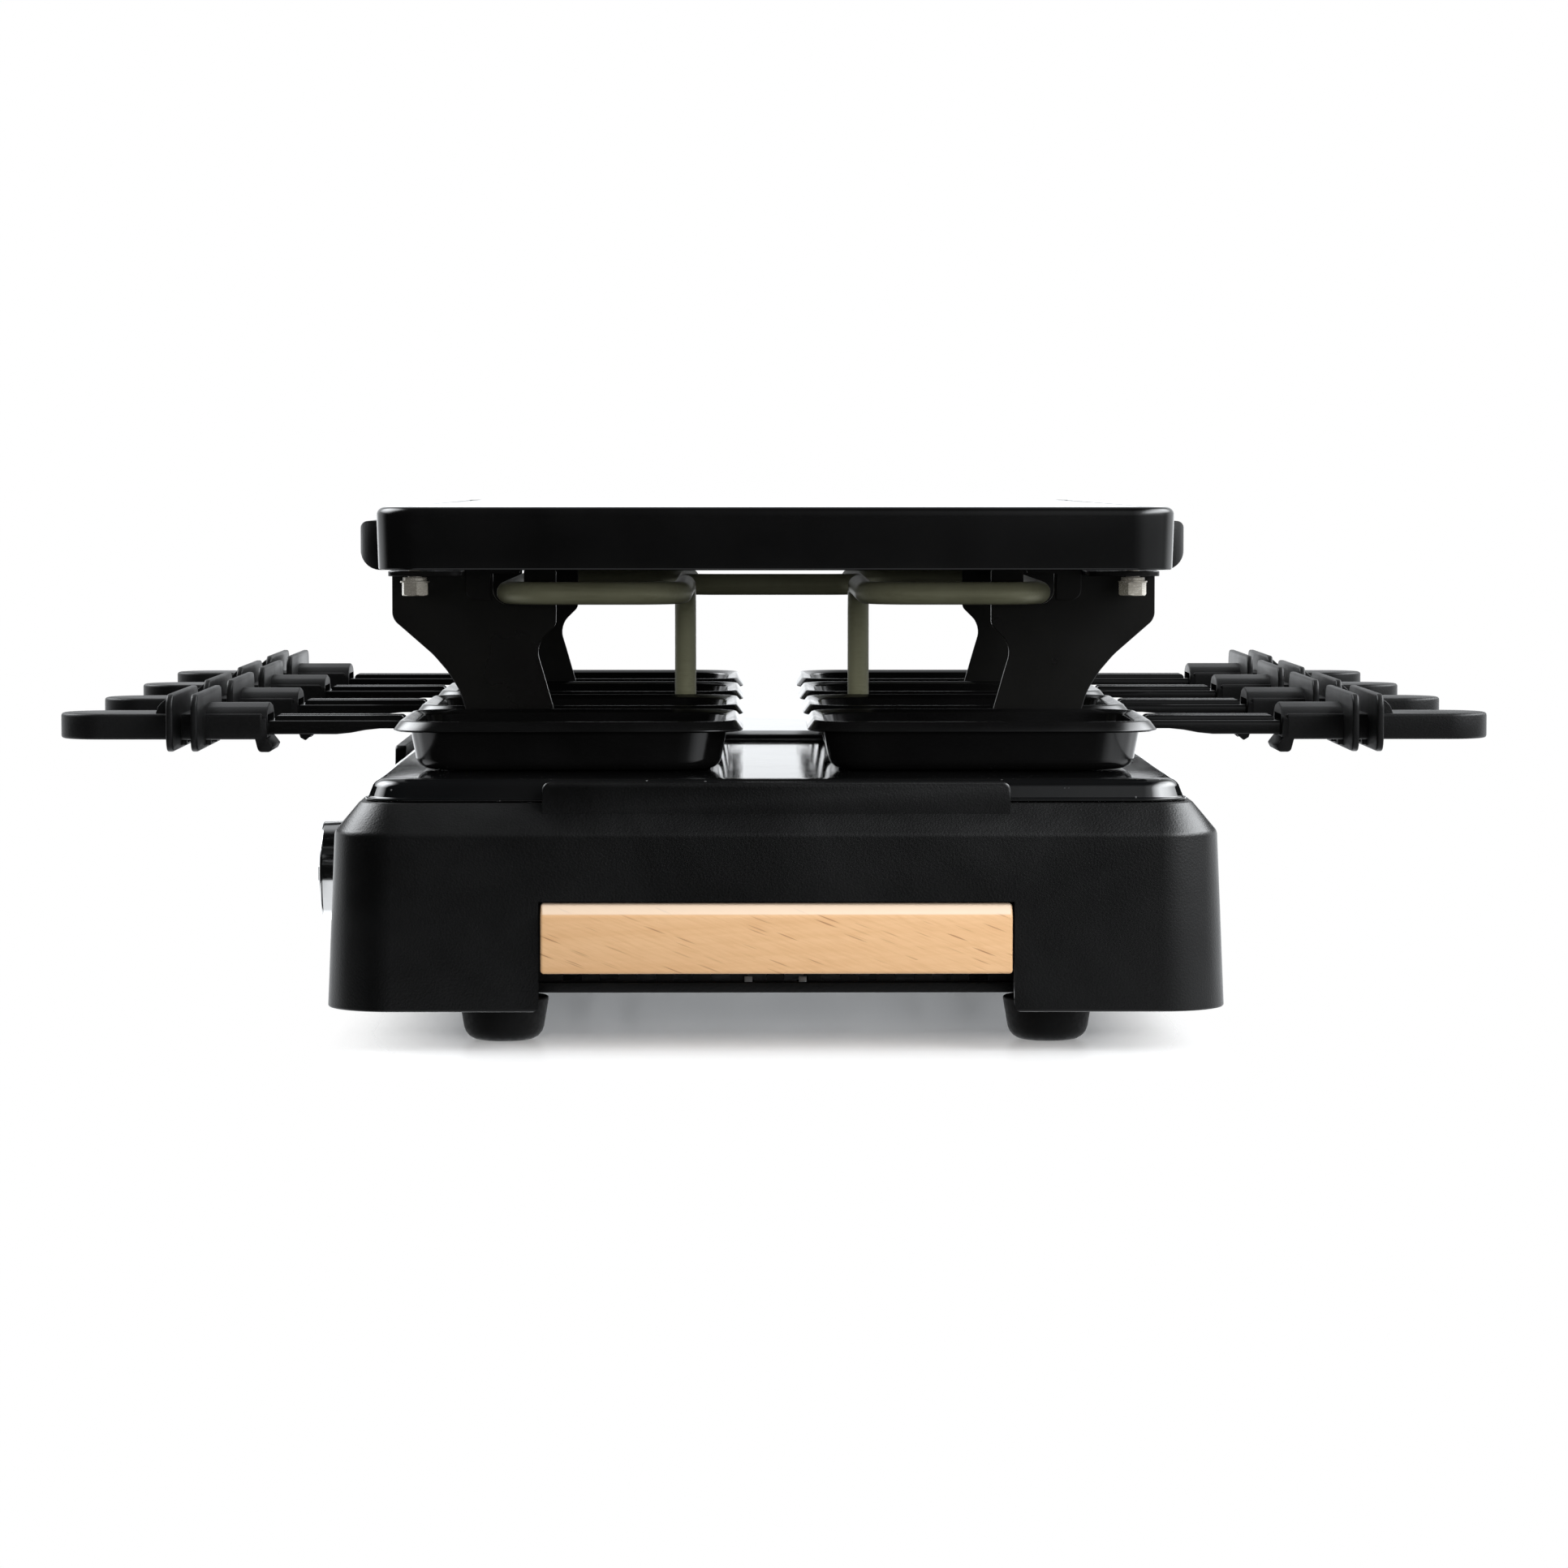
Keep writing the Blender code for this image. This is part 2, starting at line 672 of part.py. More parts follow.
def pocket_slots():
    """Vertical air slots in the pocket's back wall."""
    low_z = COVER_Z + COVER_THICKNESS + GAP + POCKET_SLOT_RISE
    slots = []
    for index in range(POCKET_SLOTS):
        x = (index - (POCKET_SLOTS - 1) / 2) * POCKET_SLOT_PITCH
        slots.append(box((x - POCKET_SLOT_WIDTH / 2, POCKET_BACK - POCKET_WALL - OVERRUN, low_z),
                         (x + POCKET_SLOT_WIDTH / 2, POCKET_BACK + OVERRUN, low_z + POCKET_SLOT_HEIGHT)))
    return slots


def raised_tab(half, back):
    """A raised tab with its inner face on the plane y = back."""
    top = RIM_Z + TAB_RISE
    low = RIM_Z - TAB_ROOT
    corner = half - TAB_EDGE
    outline = [(-half, low), (half, low)]
    outline += arc((corner, top - TAB_EDGE), TAB_EDGE, 0, 90, EDGE_STEPS)
    outline += arc((-corner, top - TAB_EDGE), TAB_EDGE, 90, 180, EDGE_STEPS)
    return prism(outline, "Y", back, back + TAB_THICKNESS)


def side_hole(radius, y, z, sides=ROUND_SIDES):
    """A round hole through the housing's -X side."""
    hole = rod(radius, BASE_HALF_X - WALL - REBATE - OVERRUN, BASE_HALF_X + OVERRUN, sides)
    return moved(rotated(hole, -90, "Y"), y=y, z=z)


def make_housing(base):
    shell = base_shell()
    for end in (-1, 1):
        tab = raised_tab(TAB_HALF, DECK_HALF_Y + GAP)
        shell = fused(shell, flipped(pocket_block(), 1, end), flipped(tab, 1, end))
        shell = cut(shell, flipped(pocket_room(), 1, end))
        shell = cut(shell, *[flipped(slot, 1, end) for slot in pocket_slots()])
    shell = fused(shell, rotated(raised_tab(SIDE_TAB_HALF, DECK_HALF_X + GAP), 90, "Z"))
    shell = cut(shell, side_hole(BUSH_RADIUS + SLIP, 0, KNOB_Z),
                side_hole(LAMP_STEM_RADIUS + SLIP, LAMP_Y, KNOB_Z),
                side_hole(GLAND_SLEEVE_RADIUS + SLIP, GLAND_Y, GLAND_Z))
    node("housing", shell, "moulded_black", base)


def vent_holes():
    """Rows of square vents, one field in each quarter of the cover."""
    low = COVER_Z - OVERRUN
    high = COVER_Z + COVER_THICKNESS + OVERRUN
    half = VENT_SIZE / 2
    holes = []
    for side, end in QUARTERS:
        for row in range(VENT_ROWS):
            for column in range(VENT_COLUMNS):
                x = side * VENT_FIELD_X + (row - (VENT_ROWS - 1) / 2) * VENT_PITCH
                y = end * VENT_FIELD_Y / 2 + (column - (VENT_COLUMNS - 1) / 2) * VENT_PITCH * end
                holes.append(box((x - half, y - half, low), (x + half, y + half, high)))
    return holes


def make_bottom_cover(base):
    half_x = BASE_HALF_X - WALL - GAP
    half_y = BASE_HALF_Y - WALL - GAP
    low = COVER_Z - OVERRUN
    high = COVER_Z + COVER_THICKNESS + OVERRUN
    sheet = prism(rounded(half_x, half_y, BASE_CORNER - WALL - GAP), "Z", COVER_Z, COVER_Z + COVER_THICKNESS)
    notch = POCKET_HALF - GAP
    cutters = [flipped(box((-notch, POCKET_BACK + GAP, low), (notch, BASE_HALF_Y + OVERRUN, high)), 1, end)
               for end in (-1, 1)]
    for side, end in QUARTERS:
        cutters.append(moved(rod(TIE_RADIUS + SLIP, low, high), side * TIE_X, end * TIE_Y))
        cutters.append(moved(rod(FOOT_STEM_RADIUS + SLIP, low, high), side * FOOT_X, end * FOOT_Y))
    node("bottom_cover", cut(sheet, *cutters, *vent_holes()), "galvanised", base)


# Feet

def make_feet(base):
    """Rubber feet, each pushed through the cover with a barbed stem."""
    barb_z = COVER_Z + COVER_THICKNESS + GAP
    profile = [
        (0, 0), (FOOT_FLAT_RADIUS, 0), (FOOT_WAIST_RADIUS - FOOT_EDGE / 3, FOOT_EDGE),
        (FOOT_WAIST_RADIUS, FOOT_WAIST_HEIGHT), (FOOT_TOP_RADIUS, FOOT_HEIGHT),
        (FOOT_STEM_RADIUS, FOOT_HEIGHT), (FOOT_STEM_RADIUS, barb_z), (FOOT_BARB_RADIUS, barb_z),
        (FOOT_STEM_RADIUS, barb_z + FOOT_BARB_HEIGHT), (0, barb_z + FOOT_BARB_HEIGHT),
    ]
    for number, (side, end) in enumerate(QUARTERS, 1):
        foot = moved(turned(profile, FOOT_SIDES), side * FOOT_X, end * FOOT_Y)
        node(f"foot_{number}", foot, "rubber_black", base)


# Deck tray and its tie bolts

def edge_rings(half_x, half_y, corner, edge, top):
    """Rings down a round edge, from the flat top to the side."""
    rings = []
    for step in range(EDGE_STEPS + 1):
        angle = math.pi / 2 * step / EDGE_STEPS
        inset = edge * (1 - math.sin(angle))
        z = top - edge * (1 - math.cos(angle))
        rings.append(ring(half_x - inset, half_y - inset, corner - inset, z))
    return rings


def make_deck(base):
    sheet = DECK_SHEET
    outer = edge_rings(DECK_HALF_X, DECK_HALF_Y, DECK_CORNER, DECK_EDGE, DECK_TOP)
    inner = edge_rings(DECK_HALF_X - sheet, DECK_HALF_Y - sheet, DECK_CORNER - sheet,
                       DECK_EDGE - sheet, DECK_TOP - sheet)
    skirt = [ring(DECK_HALF_X, DECK_HALF_Y, DECK_CORNER, DECK_Z),
             ring(DECK_HALF_X - sheet, DECK_HALF_Y - sheet, DECK_CORNER - sheet, DECK_Z)]
    tray = loft(outer + skirt + inner[::-1])
    low = DECK_TOP - sheet - OVERRUN
    high = DECK_TOP + OVERRUN
    holes = [moved(rod(TUBE_RADIUS + SLIP, low, high), side * RUN_IN, -LEG_Y) for side in (-1, 1)]
    node("deck_tray", cut(tray, *holes), "enamel_black", base)


def make_tie_bolts(base):
    """Bolts from under the cover up to nuts on the deck's underside."""
    low = COVER_Z - GAP
    high = DECK_TOP - DECK_SHEET - GAP
    profile = [
        (0, low - TIE_HEAD_HEIGHT), (TIE_HEAD_RADIUS, low - TIE_HEAD_HEIGHT), (TIE_HEAD_RADIUS, low),
        (TIE_RADIUS, low), (TIE_RADIUS, high - TIE_NUT_HEIGHT), (TIE_NUT_RADIUS, high - TIE_NUT_HEIGHT),
        (TIE_NUT_RADIUS, high), (0, high),
    ]
    for number, (side, end) in enumerate(QUARTERS, 1):
        bolt = moved(turned(profile, BOLT_SIDES), side * TIE_X, end * TIE_Y)
        node(f"tie_bolt_{number}", bolt, "zinc", base)


# Beech bars

def make_bars(base):
    half = POCKET_HALF - GAP
    low = BAR_TOP - BAR_HEIGHT
    back = BAR_FRONT - BAR_DEPTH
    section = [(back, low), (BAR_FRONT, low), (BAR_FRONT, BAR_TOP - BAR_BEVEL),
               (BAR_FRONT - BAR_BEVEL, BAR_TOP), (back, BAR_TOP)]
    for name, end in (("wood_handle_front", -1), ("wood_handle_rear", 1)):
        node(name, flipped(prism(section, "X", -half, half), 1, end), "beech", base)


# Plate brackets with their bolts, screws and element clips

def bracket():
    """One bracket for the +X, +Y quarter, from one folded sheet."""
    width = BRACKET_OUT - BRACKET_IN
    half_sheet = BRACKET_SHEET / 2
    near = BRACKET_Y - half_sheet
    far = BRACKET_Y + half_sheet
    outline = [(BRACKET_IN + u * width, BRACKET_Z + v * BRACKET_HEIGHT) for u, v in BRACKET_OUTLINE_SHARES]
    plate = prism(outline, "Y", near, far)
    flange = box((BRACKET_FLANGE_IN, near + STEP_BACK, BRACKET_TOP - BRACKET_SHEET),
                 (BRACKET_OUT - STEP_BACK, BRACKET_Y + BRACKET_FLANGE_REACH, BRACKET_TOP - STEP_BACK))
    foot_out = BRACKET_IN + BRACKET_FOOT_OUT_SHARE * width
    foot = box((BRACKET_IN + STEP_BACK, BRACKET_Y - BRACKET_FOOT_REACH, BRACKET_Z + STEP_BACK),
               (foot_out - STEP_BACK, far - STEP_BACK, BRACKET_Z + BRACKET_SHEET))
    body = fused(plate, flange, foot)
    floor = BRACKET_Z + NOTCH_FLOOR
    notch = arc((RUN_OUT, floor + NOTCH_HALF), NOTCH_HALF, 180, 360, 2 * EDGE_STEPS)
    notch += [(RUN_OUT + NOTCH_HALF, BRACKET_TOP + OVERRUN), (RUN_OUT - NOTCH_HALF, BRACKET_TOP + OVERRUN)]
    holes = [
        prism(notch, "Y", near - OVERRUN, far + OVERRUN),
        moved(rod(BOLT_RADIUS + SLIP, BRACKET_TOP - BRACKET_SHEET - OVERRUN, BRACKET_TOP + OVERRUN),
              BOLT_X, BOLT_Y),
    ]
    return cut(body, *holes)


CLIP_TOP = BRACKET_TOP + CLIP_ABOVE
CLIP_LOW = CLIP_TOP - CLIP_HEIGHT


def element_clip():
    """A small angle plate on the bracket's outer face with a finger over the tube."""
    outline = [(CLIP_STEM_IN, CLIP_LOW)]
    outline += arc((CLIP_OUT - CLIP_CORNER, CLIP_LOW + CLIP_CORNER), CLIP_CORNER, -90, 0, EDGE_STEPS)
    outline += [(CLIP_OUT, CLIP_TOP), (CLIP_IN, CLIP_TOP), (CLIP_IN, CLIP_TOP - CLIP_FINGER),
                (CLIP_STEM_IN, CLIP_TOP - CLIP_FINGER)]
    near = BRACKET_Y + BRACKET_SHEET / 2 + GAP
    return prism(outline, "Y", near, near + CLIP_SHEET)


def plate_bolt():
    """Hex bolt with its washer; its end stands up through the flange as the plate's locating pin."""
    high = BRACKET_TOP + BOLT_PIN
    washer_high = BRACKET_TOP - BRACKET_SHEET - GAP
    head_high = washer_high - WASHER_THICKNESS
    head_low = head_high - BOLT_HEAD_HEIGHT
    bolt = turned([
        (0, head_low), (BOLT_HEAD_RADIUS, head_low), (BOLT_HEAD_RADIUS, head_high),
        (WASHER_RADIUS, head_high), (WASHER_RADIUS, washer_high), (BOLT_RADIUS, washer_high),
        (BOLT_RADIUS, high), (0, high),
    ], BOLT_SIDES)
    return moved(bolt, BOLT_X, BOLT_Y)


def make_brackets(base):
    shape = bracket()
    clip = element_clip()
    bolt = plate_bolt()
    for number, (side, end) in enumerate(QUARTERS, 1):
        node(f"bracket_{number}", flipped(shape, side, end), "painted_black", base)
        node(f"element_clip_{number}", flipped(clip, side, end), "painted_black", base)
        node(f"plate_bolt_{number}", flipped(bolt, side, end), "zinc", base)


# Heating element

def element_route():
    """Left leg, left loop, the crossing at mid-length, right loop, right leg."""
    z = ELEMENT_Z
    low = DECK_TOP - LEG_BELOW_DECK
    left = [
        (-RUN_IN, -LEG_Y, low), (-RUN_IN, -LEG_Y, z), (-RUN_IN, -LOOP_END, z), (-RUN_OUT, -LOOP_END, z),
        (-RUN_OUT, LOOP_END, z), (-RUN_IN, LOOP_END, z), (-RUN_IN, CROSS_Y, z),
    ]
    right = [(-x, y, height) for x, y, height in reversed(left)]
    bends = [LEG_BEND] + [LOOP_BEND] * 4 + [LEG_BEND] * 2 + [LOOP_BEND] * 4 + [LEG_BEND]
    return bent(left + right, bends)


def make_element(base):
    tube_node("heating_element", element_route(), TUBE_RADIUS, "element_olive", base)
    high = DECK_TOP - LEG_BELOW_DECK - GAP
    for number, side in enumerate((-1, 1), 1):
        terminal = moved(rod(TERMINAL_RADIUS, high - TERMINAL_LENGTH, high), side * RUN_IN, -LEG_Y)
        node(f"element_terminal_{number}", terminal, "brass", base)
    low = DECK_TOP + GAP
    sheet = prism(rounded(LEG_PLATE_HALF_X, LEG_PLATE_HALF_Y, LEG_PLATE_CORNER), "Z",
                  low, low + LEG_PLATE_THICKNESS)
    holes = [moved(rod(TUBE_RADIUS + SLIP, low - OVERRUN, low + LEG_PLATE_THICKNESS + OVERRUN),
                   side * RUN_IN, -LEG_Y) for side in (-1, 1)]
    node("leg_plate", cut(sheet, *holes), "painted_black", base)


# Thermostat, lamp, cord inlet and wiring

def facing_left(bm, y, z):
    """Take a piece made along Z to the -X side, its height measured outwards from the middle."""
    return moved(rotated(bm, -90, "Y"), y=y, z=z)


THERMOSTAT_FACE = BASE_HALF_X - SIDE_DRAFT - WALL - GAP
SHAFT_LOW = THERMOSTAT_FACE - SHAFT_DEPTH
KNOB_FACE = BASE_HALF_X + KNOB_REACH
SHAFT_HIGH = KNOB_FACE - KNOB_DOME - KNOB_CROWN


def make_thermostat(base, dial):
    back = THERMOSTAT_FACE - THERMOSTAT_DEPTH
    body = box((-THERMOSTAT_FACE, -THERMOSTAT_HALF_Y, KNOB_Z - THERMOSTAT_HALF_Z),
               (-back, THERMOSTAT_HALF_Y, KNOB_Z + THERMOSTAT_HALF_Z))
    bush_high = BASE_HALF_X + BUSH_REACH
    bush = rod(BUSH_RADIUS, THERMOSTAT_FACE - SINK, bush_high, ROUND_SIDES)
    bore = rod(SHAFT_RADIUS + GAP, SHAFT_LOW - GAP, bush_high + OVERRUN, ROUND_SIDES)
    body = cut(fused(body, facing_left(bush, 0, KNOB_Z)), facing_left(bore, 0, KNOB_Z))
    node("thermostat_body", body, "phenolic", base)
    nut_low = side_x(KNOB_Z - THERMOSTAT_NUT_RADIUS) + GAP
    nut_high = nut_low + THERMOSTAT_NUT_HEIGHT
    nut = collar(BUSH_RADIUS + GAP, THERMOSTAT_NUT_RADIUS, nut_low, nut_high, ROUND_SIDES)
    node("thermostat_nut", facing_left(nut, 0, KNOB_Z), "zinc", base)
    shaft = facing_left(rod(SHAFT_RADIUS, SHAFT_LOW, SHAFT_HIGH, ROUND_SIDES), 0, 0)
    node("thermostat_shaft", shaft, "zinc", dial)


def make_knob(dial):
    """Turned knob with a grip bar across its face and a recess over the nut."""
    low = side_x(KNOB_Z - KNOB_RADIUS) + GAP
    face = KNOB_FACE - KNOB_BAR_RISE
    profile = [
        (0, face), (KNOB_FACE_RADIUS - KNOB_EDGE, face - KNOB_DOME),
        (KNOB_FACE_RADIUS, face - KNOB_DOME - KNOB_EDGE), (KNOB_RADIUS, low), (KNOB_RECESS_RADIUS, low),
        (KNOB_RECESS_RADIUS, low + KNOB_RECESS), (SHAFT_RADIUS + GAP, low + KNOB_RECESS),
        (SHAFT_RADIUS + GAP, SHAFT_HIGH + GAP), (0, SHAFT_HIGH + GAP),
    ]
    body = turned(profile, KNOB_SIDES)
    bar = box((-KNOB_BAR_WIDTH / 2, -KNOB_BAR_HALF, face - KNOB_DOME - SINK),
              (KNOB_BAR_WIDTH / 2, KNOB_BAR_HALF, KNOB_FACE))
    node("knob", facing_left(fused(body, bar), 0, 0), "chrome", dial)


def make_side_fittings(base):
    seat = side_x(KNOB_Z - LAMP_RADIUS) + GAP
    lamp = [
        (0, seat - WALL - LAMP_STEM), (LAMP_STEM_RADIUS, seat - WALL - LAMP_STEM), (LAMP_STEM_RADIUS, seat),
        (LAMP_RADIUS, seat), (LAMP_RADIUS, seat + LAMP_PROUD / 2),
        (LAMP_RADIUS - LAMP_PROUD, seat + LAMP_PROUD), (0, seat + LAMP_PROUD),
    ]
    node("pilot_lamp", facing_left(turned(lamp, ROUND_SIDES), LAMP_Y, KNOB_Z), "lens_amber", base)
    seat = side_x(GLAND_Z - GLAND_RADIUS) + GAP
    inner = seat - WALL - GLAND_SLEEVE
    gland = [
        (GLAND_BORE_RADIUS, inner), (GLAND_SLEEVE_RADIUS, inner), (GLAND_SLEEVE_RADIUS, seat),
        (GLAND_RADIUS, seat), (GLAND_RADIUS, seat + GLAND_PROUD / 2),
        (GLAND_RADIUS - GLAND_PROUD / 2, seat + GLAND_PROUD), (GLAND_BORE_RADIUS, seat + GLAND_PROUD),
    ]
    node("cord_gland", facing_left(turned(gland, ROUND_SIDES), GLAND_Y, GLAND_Z), "rubber_black", base)


def make_wiring(base):
    low = COVER_Z + COVER_THICKNESS + GAP
    block = box((BLOCK_X - BLOCK_HALF_X, BLOCK_Y - BLOCK_HALF_Y, low),
                (BLOCK_X + BLOCK_HALF_X, BLOCK_Y + BLOCK_HALF_Y, low + BLOCK_HEIGHT))
    node("terminal_block", block, "ceramic", base)
    block_z = low + BLOCK_HEIGHT / 2
    start_y = BLOCK_Y - BLOCK_HALF_Y - GAP
    tab_x = -(THERMOSTAT_FACE - THERMOSTAT_DEPTH) + GAP
    pin_z = DECK_TOP - LEG_BELOW_DECK - TERMINAL_LENGTH - 2 * GAP
    run_z = pin_z - LEAD_SAG
    turn_y = THERMOSTAT_HALF_Y + LEAD_SAG
    supply = [
        (BLOCK_X - LEAD_SPACING, start_y, block_z), (BLOCK_X - LEAD_SPACING, start_y - LEAD_SAG, block_z),
        (BLOCK_X - 2 * LEAD_SPACING, turn_y + LEAD_SAG, block_z),
        (BLOCK_X - 2 * LEAD_SPACING, turn_y, KNOB_Z),
        (BLOCK_X - 3 * LEAD_SPACING, LEAD_SPACING, KNOB_Z), (tab_x, LEAD_SPACING, KNOB_Z),
    ]
    heater = [
        (tab_x, -LEAD_SPACING, KNOB_Z), (tab_x + LEAD_SAG, -LEAD_SPACING, KNOB_Z),
        (-RUN_IN - LEAD_SAG, -LEG_Y, run_z), (-RUN_IN - LEAD_SPACING / 2, -LEG_Y, run_z),
        (-RUN_IN, -LEG_Y, run_z + LEAD_SPACING / 2), (-RUN_IN, -LEG_Y, pin_z),
    ]
    neutral = [
        (BLOCK_X + LEAD_SPACING, start_y, block_z), (BLOCK_X + LEAD_SPACING, start_y - LEAD_SAG, block_z),
        (-RUN_IN, turn_y + LEAD_SAG, block_z), (RUN_IN - LEAD_SPACING, turn_y, block_z),
        (RUN_IN, LEAD_SPACING, run_z), (RUN_IN, -LEG_Y, run_z + LEAD_SPACING / 2), (RUN_IN, -LEG_Y, pin_z),
    ]
    for name, route in (("lead_supply", supply), ("lead_heater", heater), ("lead_neutral", neutral)):
        tube_node(name, route, LEAD_RADIUS, "lead_sleeve", base)


# Grill plate with its grips

def drain_groove():
    """Cutter for the groove round the cooking surface, wider at the top."""
    high = PLATE_TOP + OVERRUN
    low = PLATE_TOP - GROOVE_DEPTH
    rings = []
    for inset, z in ((GROOVE_INSET, high), (GROOVE_INSET + GROOVE_DRAFT, low),
                     (GROOVE_INSET + GROOVE_WIDTH - GROOVE_DRAFT, low), (GROOVE_INSET + GROOVE_WIDTH, high)):
        rings.append(ring(PLATE_HALF_X - inset, PLATE_HALF_Y - inset, PLATE_CORNER - inset, z))
    return loft(rings, closed=True)


def rib_channels():
    """Cutters for the channels between the ribs, which drain into the groove at both ends."""
    half = PLATE_HALF_X - GROOVE_INSET - GROOVE_WIDTH / 2
    high = PLATE_TOP + OVERRUN
    low = PLATE_TOP - CHANNEL_DEPTH
    last = PLATE_HALF_Y - GROOVE_INSET - GROOVE_WIDTH - CHANNEL_PITCH / 2
    channels = []
    y = CHANNEL_START + CHANNEL_WIDTH / 2
    while y < last:
        section = [
            (y - CHANNEL_FLOOR / 2, low), (y + CHANNEL_FLOOR / 2, low),
            (y + CHANNEL_WIDTH / 2, PLATE_TOP), (y + CHANNEL_WIDTH / 2, high),
            (y - CHANNEL_WIDTH / 2, high), (y - CHANNEL_WIDTH / 2, PLATE_TOP),
        ]
        channels.append(prism(section, "X", -half, half))
        y += CHANNEL_PITCH
    return channels


LUG_Z = PLATE_Z + LUG_RISE


def make_plate(plate):
    outer = edge_rings(PLATE_HALF_X, PLATE_HALF_Y, PLATE_CORNER, PLATE_EDGE, PLATE_TOP)
    skirt = ring(PLATE_HALF_X - PLATE_DRAFT, PLATE_HALF_Y - PLATE_DRAFT, PLATE_CORNER - PLATE_DRAFT, PLATE_Z)
    hollow_x = PLATE_HALF_X - PLATE_WALL
    hollow_y = PLATE_HALF_Y - PLATE_WALL
    hollow_corner = PLATE_CORNER - PLATE_WALL
    floor_z = PLATE_TOP - PLATE_FLOOR
    shell = loft([*outer, skirt, ring(hollow_x, hollow_y, hollow_corner, PLATE_Z),
                  ring(hollow_x, hollow_y, hollow_corner, floor_z)])
    shell = cut(cut(shell, drain_groove()), *rib_channels())
    pad_low = BRACKET_TOP + GAP
    pad = moved(rod(PAD_RADIUS, pad_low, floor_z + SINK, ROUND_SIDES), BOLT_X, BOLT_Y)
    lug = box((PLATE_HALF_X - PLATE_WALL / 2, -LUG_HALF, LUG_Z),
              (PLATE_HALF_X + LUG_REACH, LUG_HALF, LUG_Z + LUG_THICKNESS))
    hole = moved(rod(BOLT_RADIUS + SLIP, pad_low - OVERRUN, pad_low + PIN_HOLE_DEPTH), BOLT_X, BOLT_Y)
    bore = rod(GRIP_SCREW_RADIUS + SLIP, LUG_Z - OVERRUN, LUG_Z + LUG_THICKNESS + OVERRUN)
    moved(bore, GRIP_SCREW_X)
    shell = fused(shell, *[flipped(pad, side, end) for side, end in QUARTERS])
    shell = fused(shell, *[flipped(lug, side, 1) for side in (-1, 1)])
    holes = [flipped(hole, side, end) for side, end in QUARTERS]
    holes += [flipped(bore, side, 1) for side in (-1, 1)]
    node("grill_plate", cut(shell, *holes), "nonstick", plate)


GRIP_IN = PLATE_HALF_X + GAP
GRIP_OUT = GRIP_IN + GRIP_REACH
GRIP_Z = PLATE_Z - GRIP_DROP
GRIP_TOP = GRIP_Z + GRIP_HEIGHT
GRIP_SCREW_X = PLATE_HALF_X + LUG_REACH / 2


def plate_grip():
    """The grip for the +X side: rounded seen from above and from the end."""
    section = [(GRIP_IN, GRIP_TOP), (GRIP_IN, GRIP_Z)]
    section += arc((GRIP_OUT - GRIP_LOWER_ROUND, GRIP_Z + GRIP_LOWER_ROUND), GRIP_LOWER_ROUND, -90, 0,
                   BEND_STEPS)
    section += arc((GRIP_OUT - GRIP_UPPER_ROUND, GRIP_TOP - GRIP_UPPER_ROUND), GRIP_UPPER_ROUND, 0, 90,
                   EDGE_STEPS)
    plan = [(GRIP_IN - OVERRUN, -GRIP_HALF)]
    plan += arc((GRIP_OUT - GRIP_CORNER, -GRIP_HALF + GRIP_CORNER), GRIP_CORNER, -90, 0, EDGE_STEPS)
    plan += arc((GRIP_OUT - GRIP_CORNER, GRIP_HALF - GRIP_CORNER), GRIP_CORNER, 0, 90, EDGE_STEPS)
    plan += [(GRIP_IN - OVERRUN, GRIP_HALF)]
    body = boolean(prism(section, "Y", -GRIP_HALF - OVERRUN, GRIP_HALF + OVERRUN),
                   prism(plan, "Z", GRIP_Z - OVERRUN, GRIP_TOP + OVERRUN), "INTERSECT")
    pocket = box((GRIP_IN - OVERRUN, -LUG_HALF - GAP, LUG_Z - GAP),
                 (PLATE_HALF_X + LUG_REACH + GAP, LUG_HALF + GAP, LUG_Z + LUG_THICKNESS + GAP))
    recess = rod(GRIP_SCREW_HEAD_RADIUS + SLIP, GRIP_Z - OVERRUN, GRIP_Z + GRIP_SCREW_RECESS)
    hole = rod(GRIP_SCREW_RADIUS + SLIP, GRIP_Z, LUG_Z)
    body = cut(body, pocket, moved(recess, GRIP_SCREW_X))
    return cut(body, moved(hole, GRIP_SCREW_X))


def make_grips(plate):
    shape = plate_grip()
    head_z = GRIP_Z + GRIP_SCREW_RECESS - GAP
    fixing = screw(GRIP_SCREW_HEAD_RADIUS, GRIP_SCREW_HEAD_HEIGHT, GRIP_SCREW_RADIUS,
                   LUG_Z + LUG_THICKNESS - head_z)
    moved(fixing, GRIP_SCREW_X, 0, head_z)
    for word, side in (("left", -1), ("right", 1)):
        node(f"plate_grip_{word}", flipped(shape, side, 1), "handle_black", plate)
        node(f"grip_screw_{word}", flipped(fixing, side, 1), "zinc", plate)


# Pans and their handles, modelled about the pan's centre with the handle towards +X

def pan_tang():
    """Inverted channel with two ridges, seen along X."""
    under = TANG_TOP - TANG_SHEET
    low = TANG_TOP - TANG_FLANGE
    right = [
        (TANG_HALF - TANG_SHEET, under), (TANG_HALF - TANG_SHEET, low), (TANG_HALF, low),
        (TANG_HALF, TANG_TOP), (RIDGE_OFFSET + RIDGE_HALF, TANG_TOP),
        (RIDGE_OFFSET + RIDGE_HALF / 2, TANG_TOP + RIDGE_HEIGHT),
        (RIDGE_OFFSET - RIDGE_HALF / 2, TANG_TOP + RIDGE_HEIGHT), (RIDGE_OFFSET - RIDGE_HALF, TANG_TOP),
    ]
    left = [(-y, z) for y, z in reversed(right)]
    return prism(right + left, "X", TANG_ROOT, TANG_END)


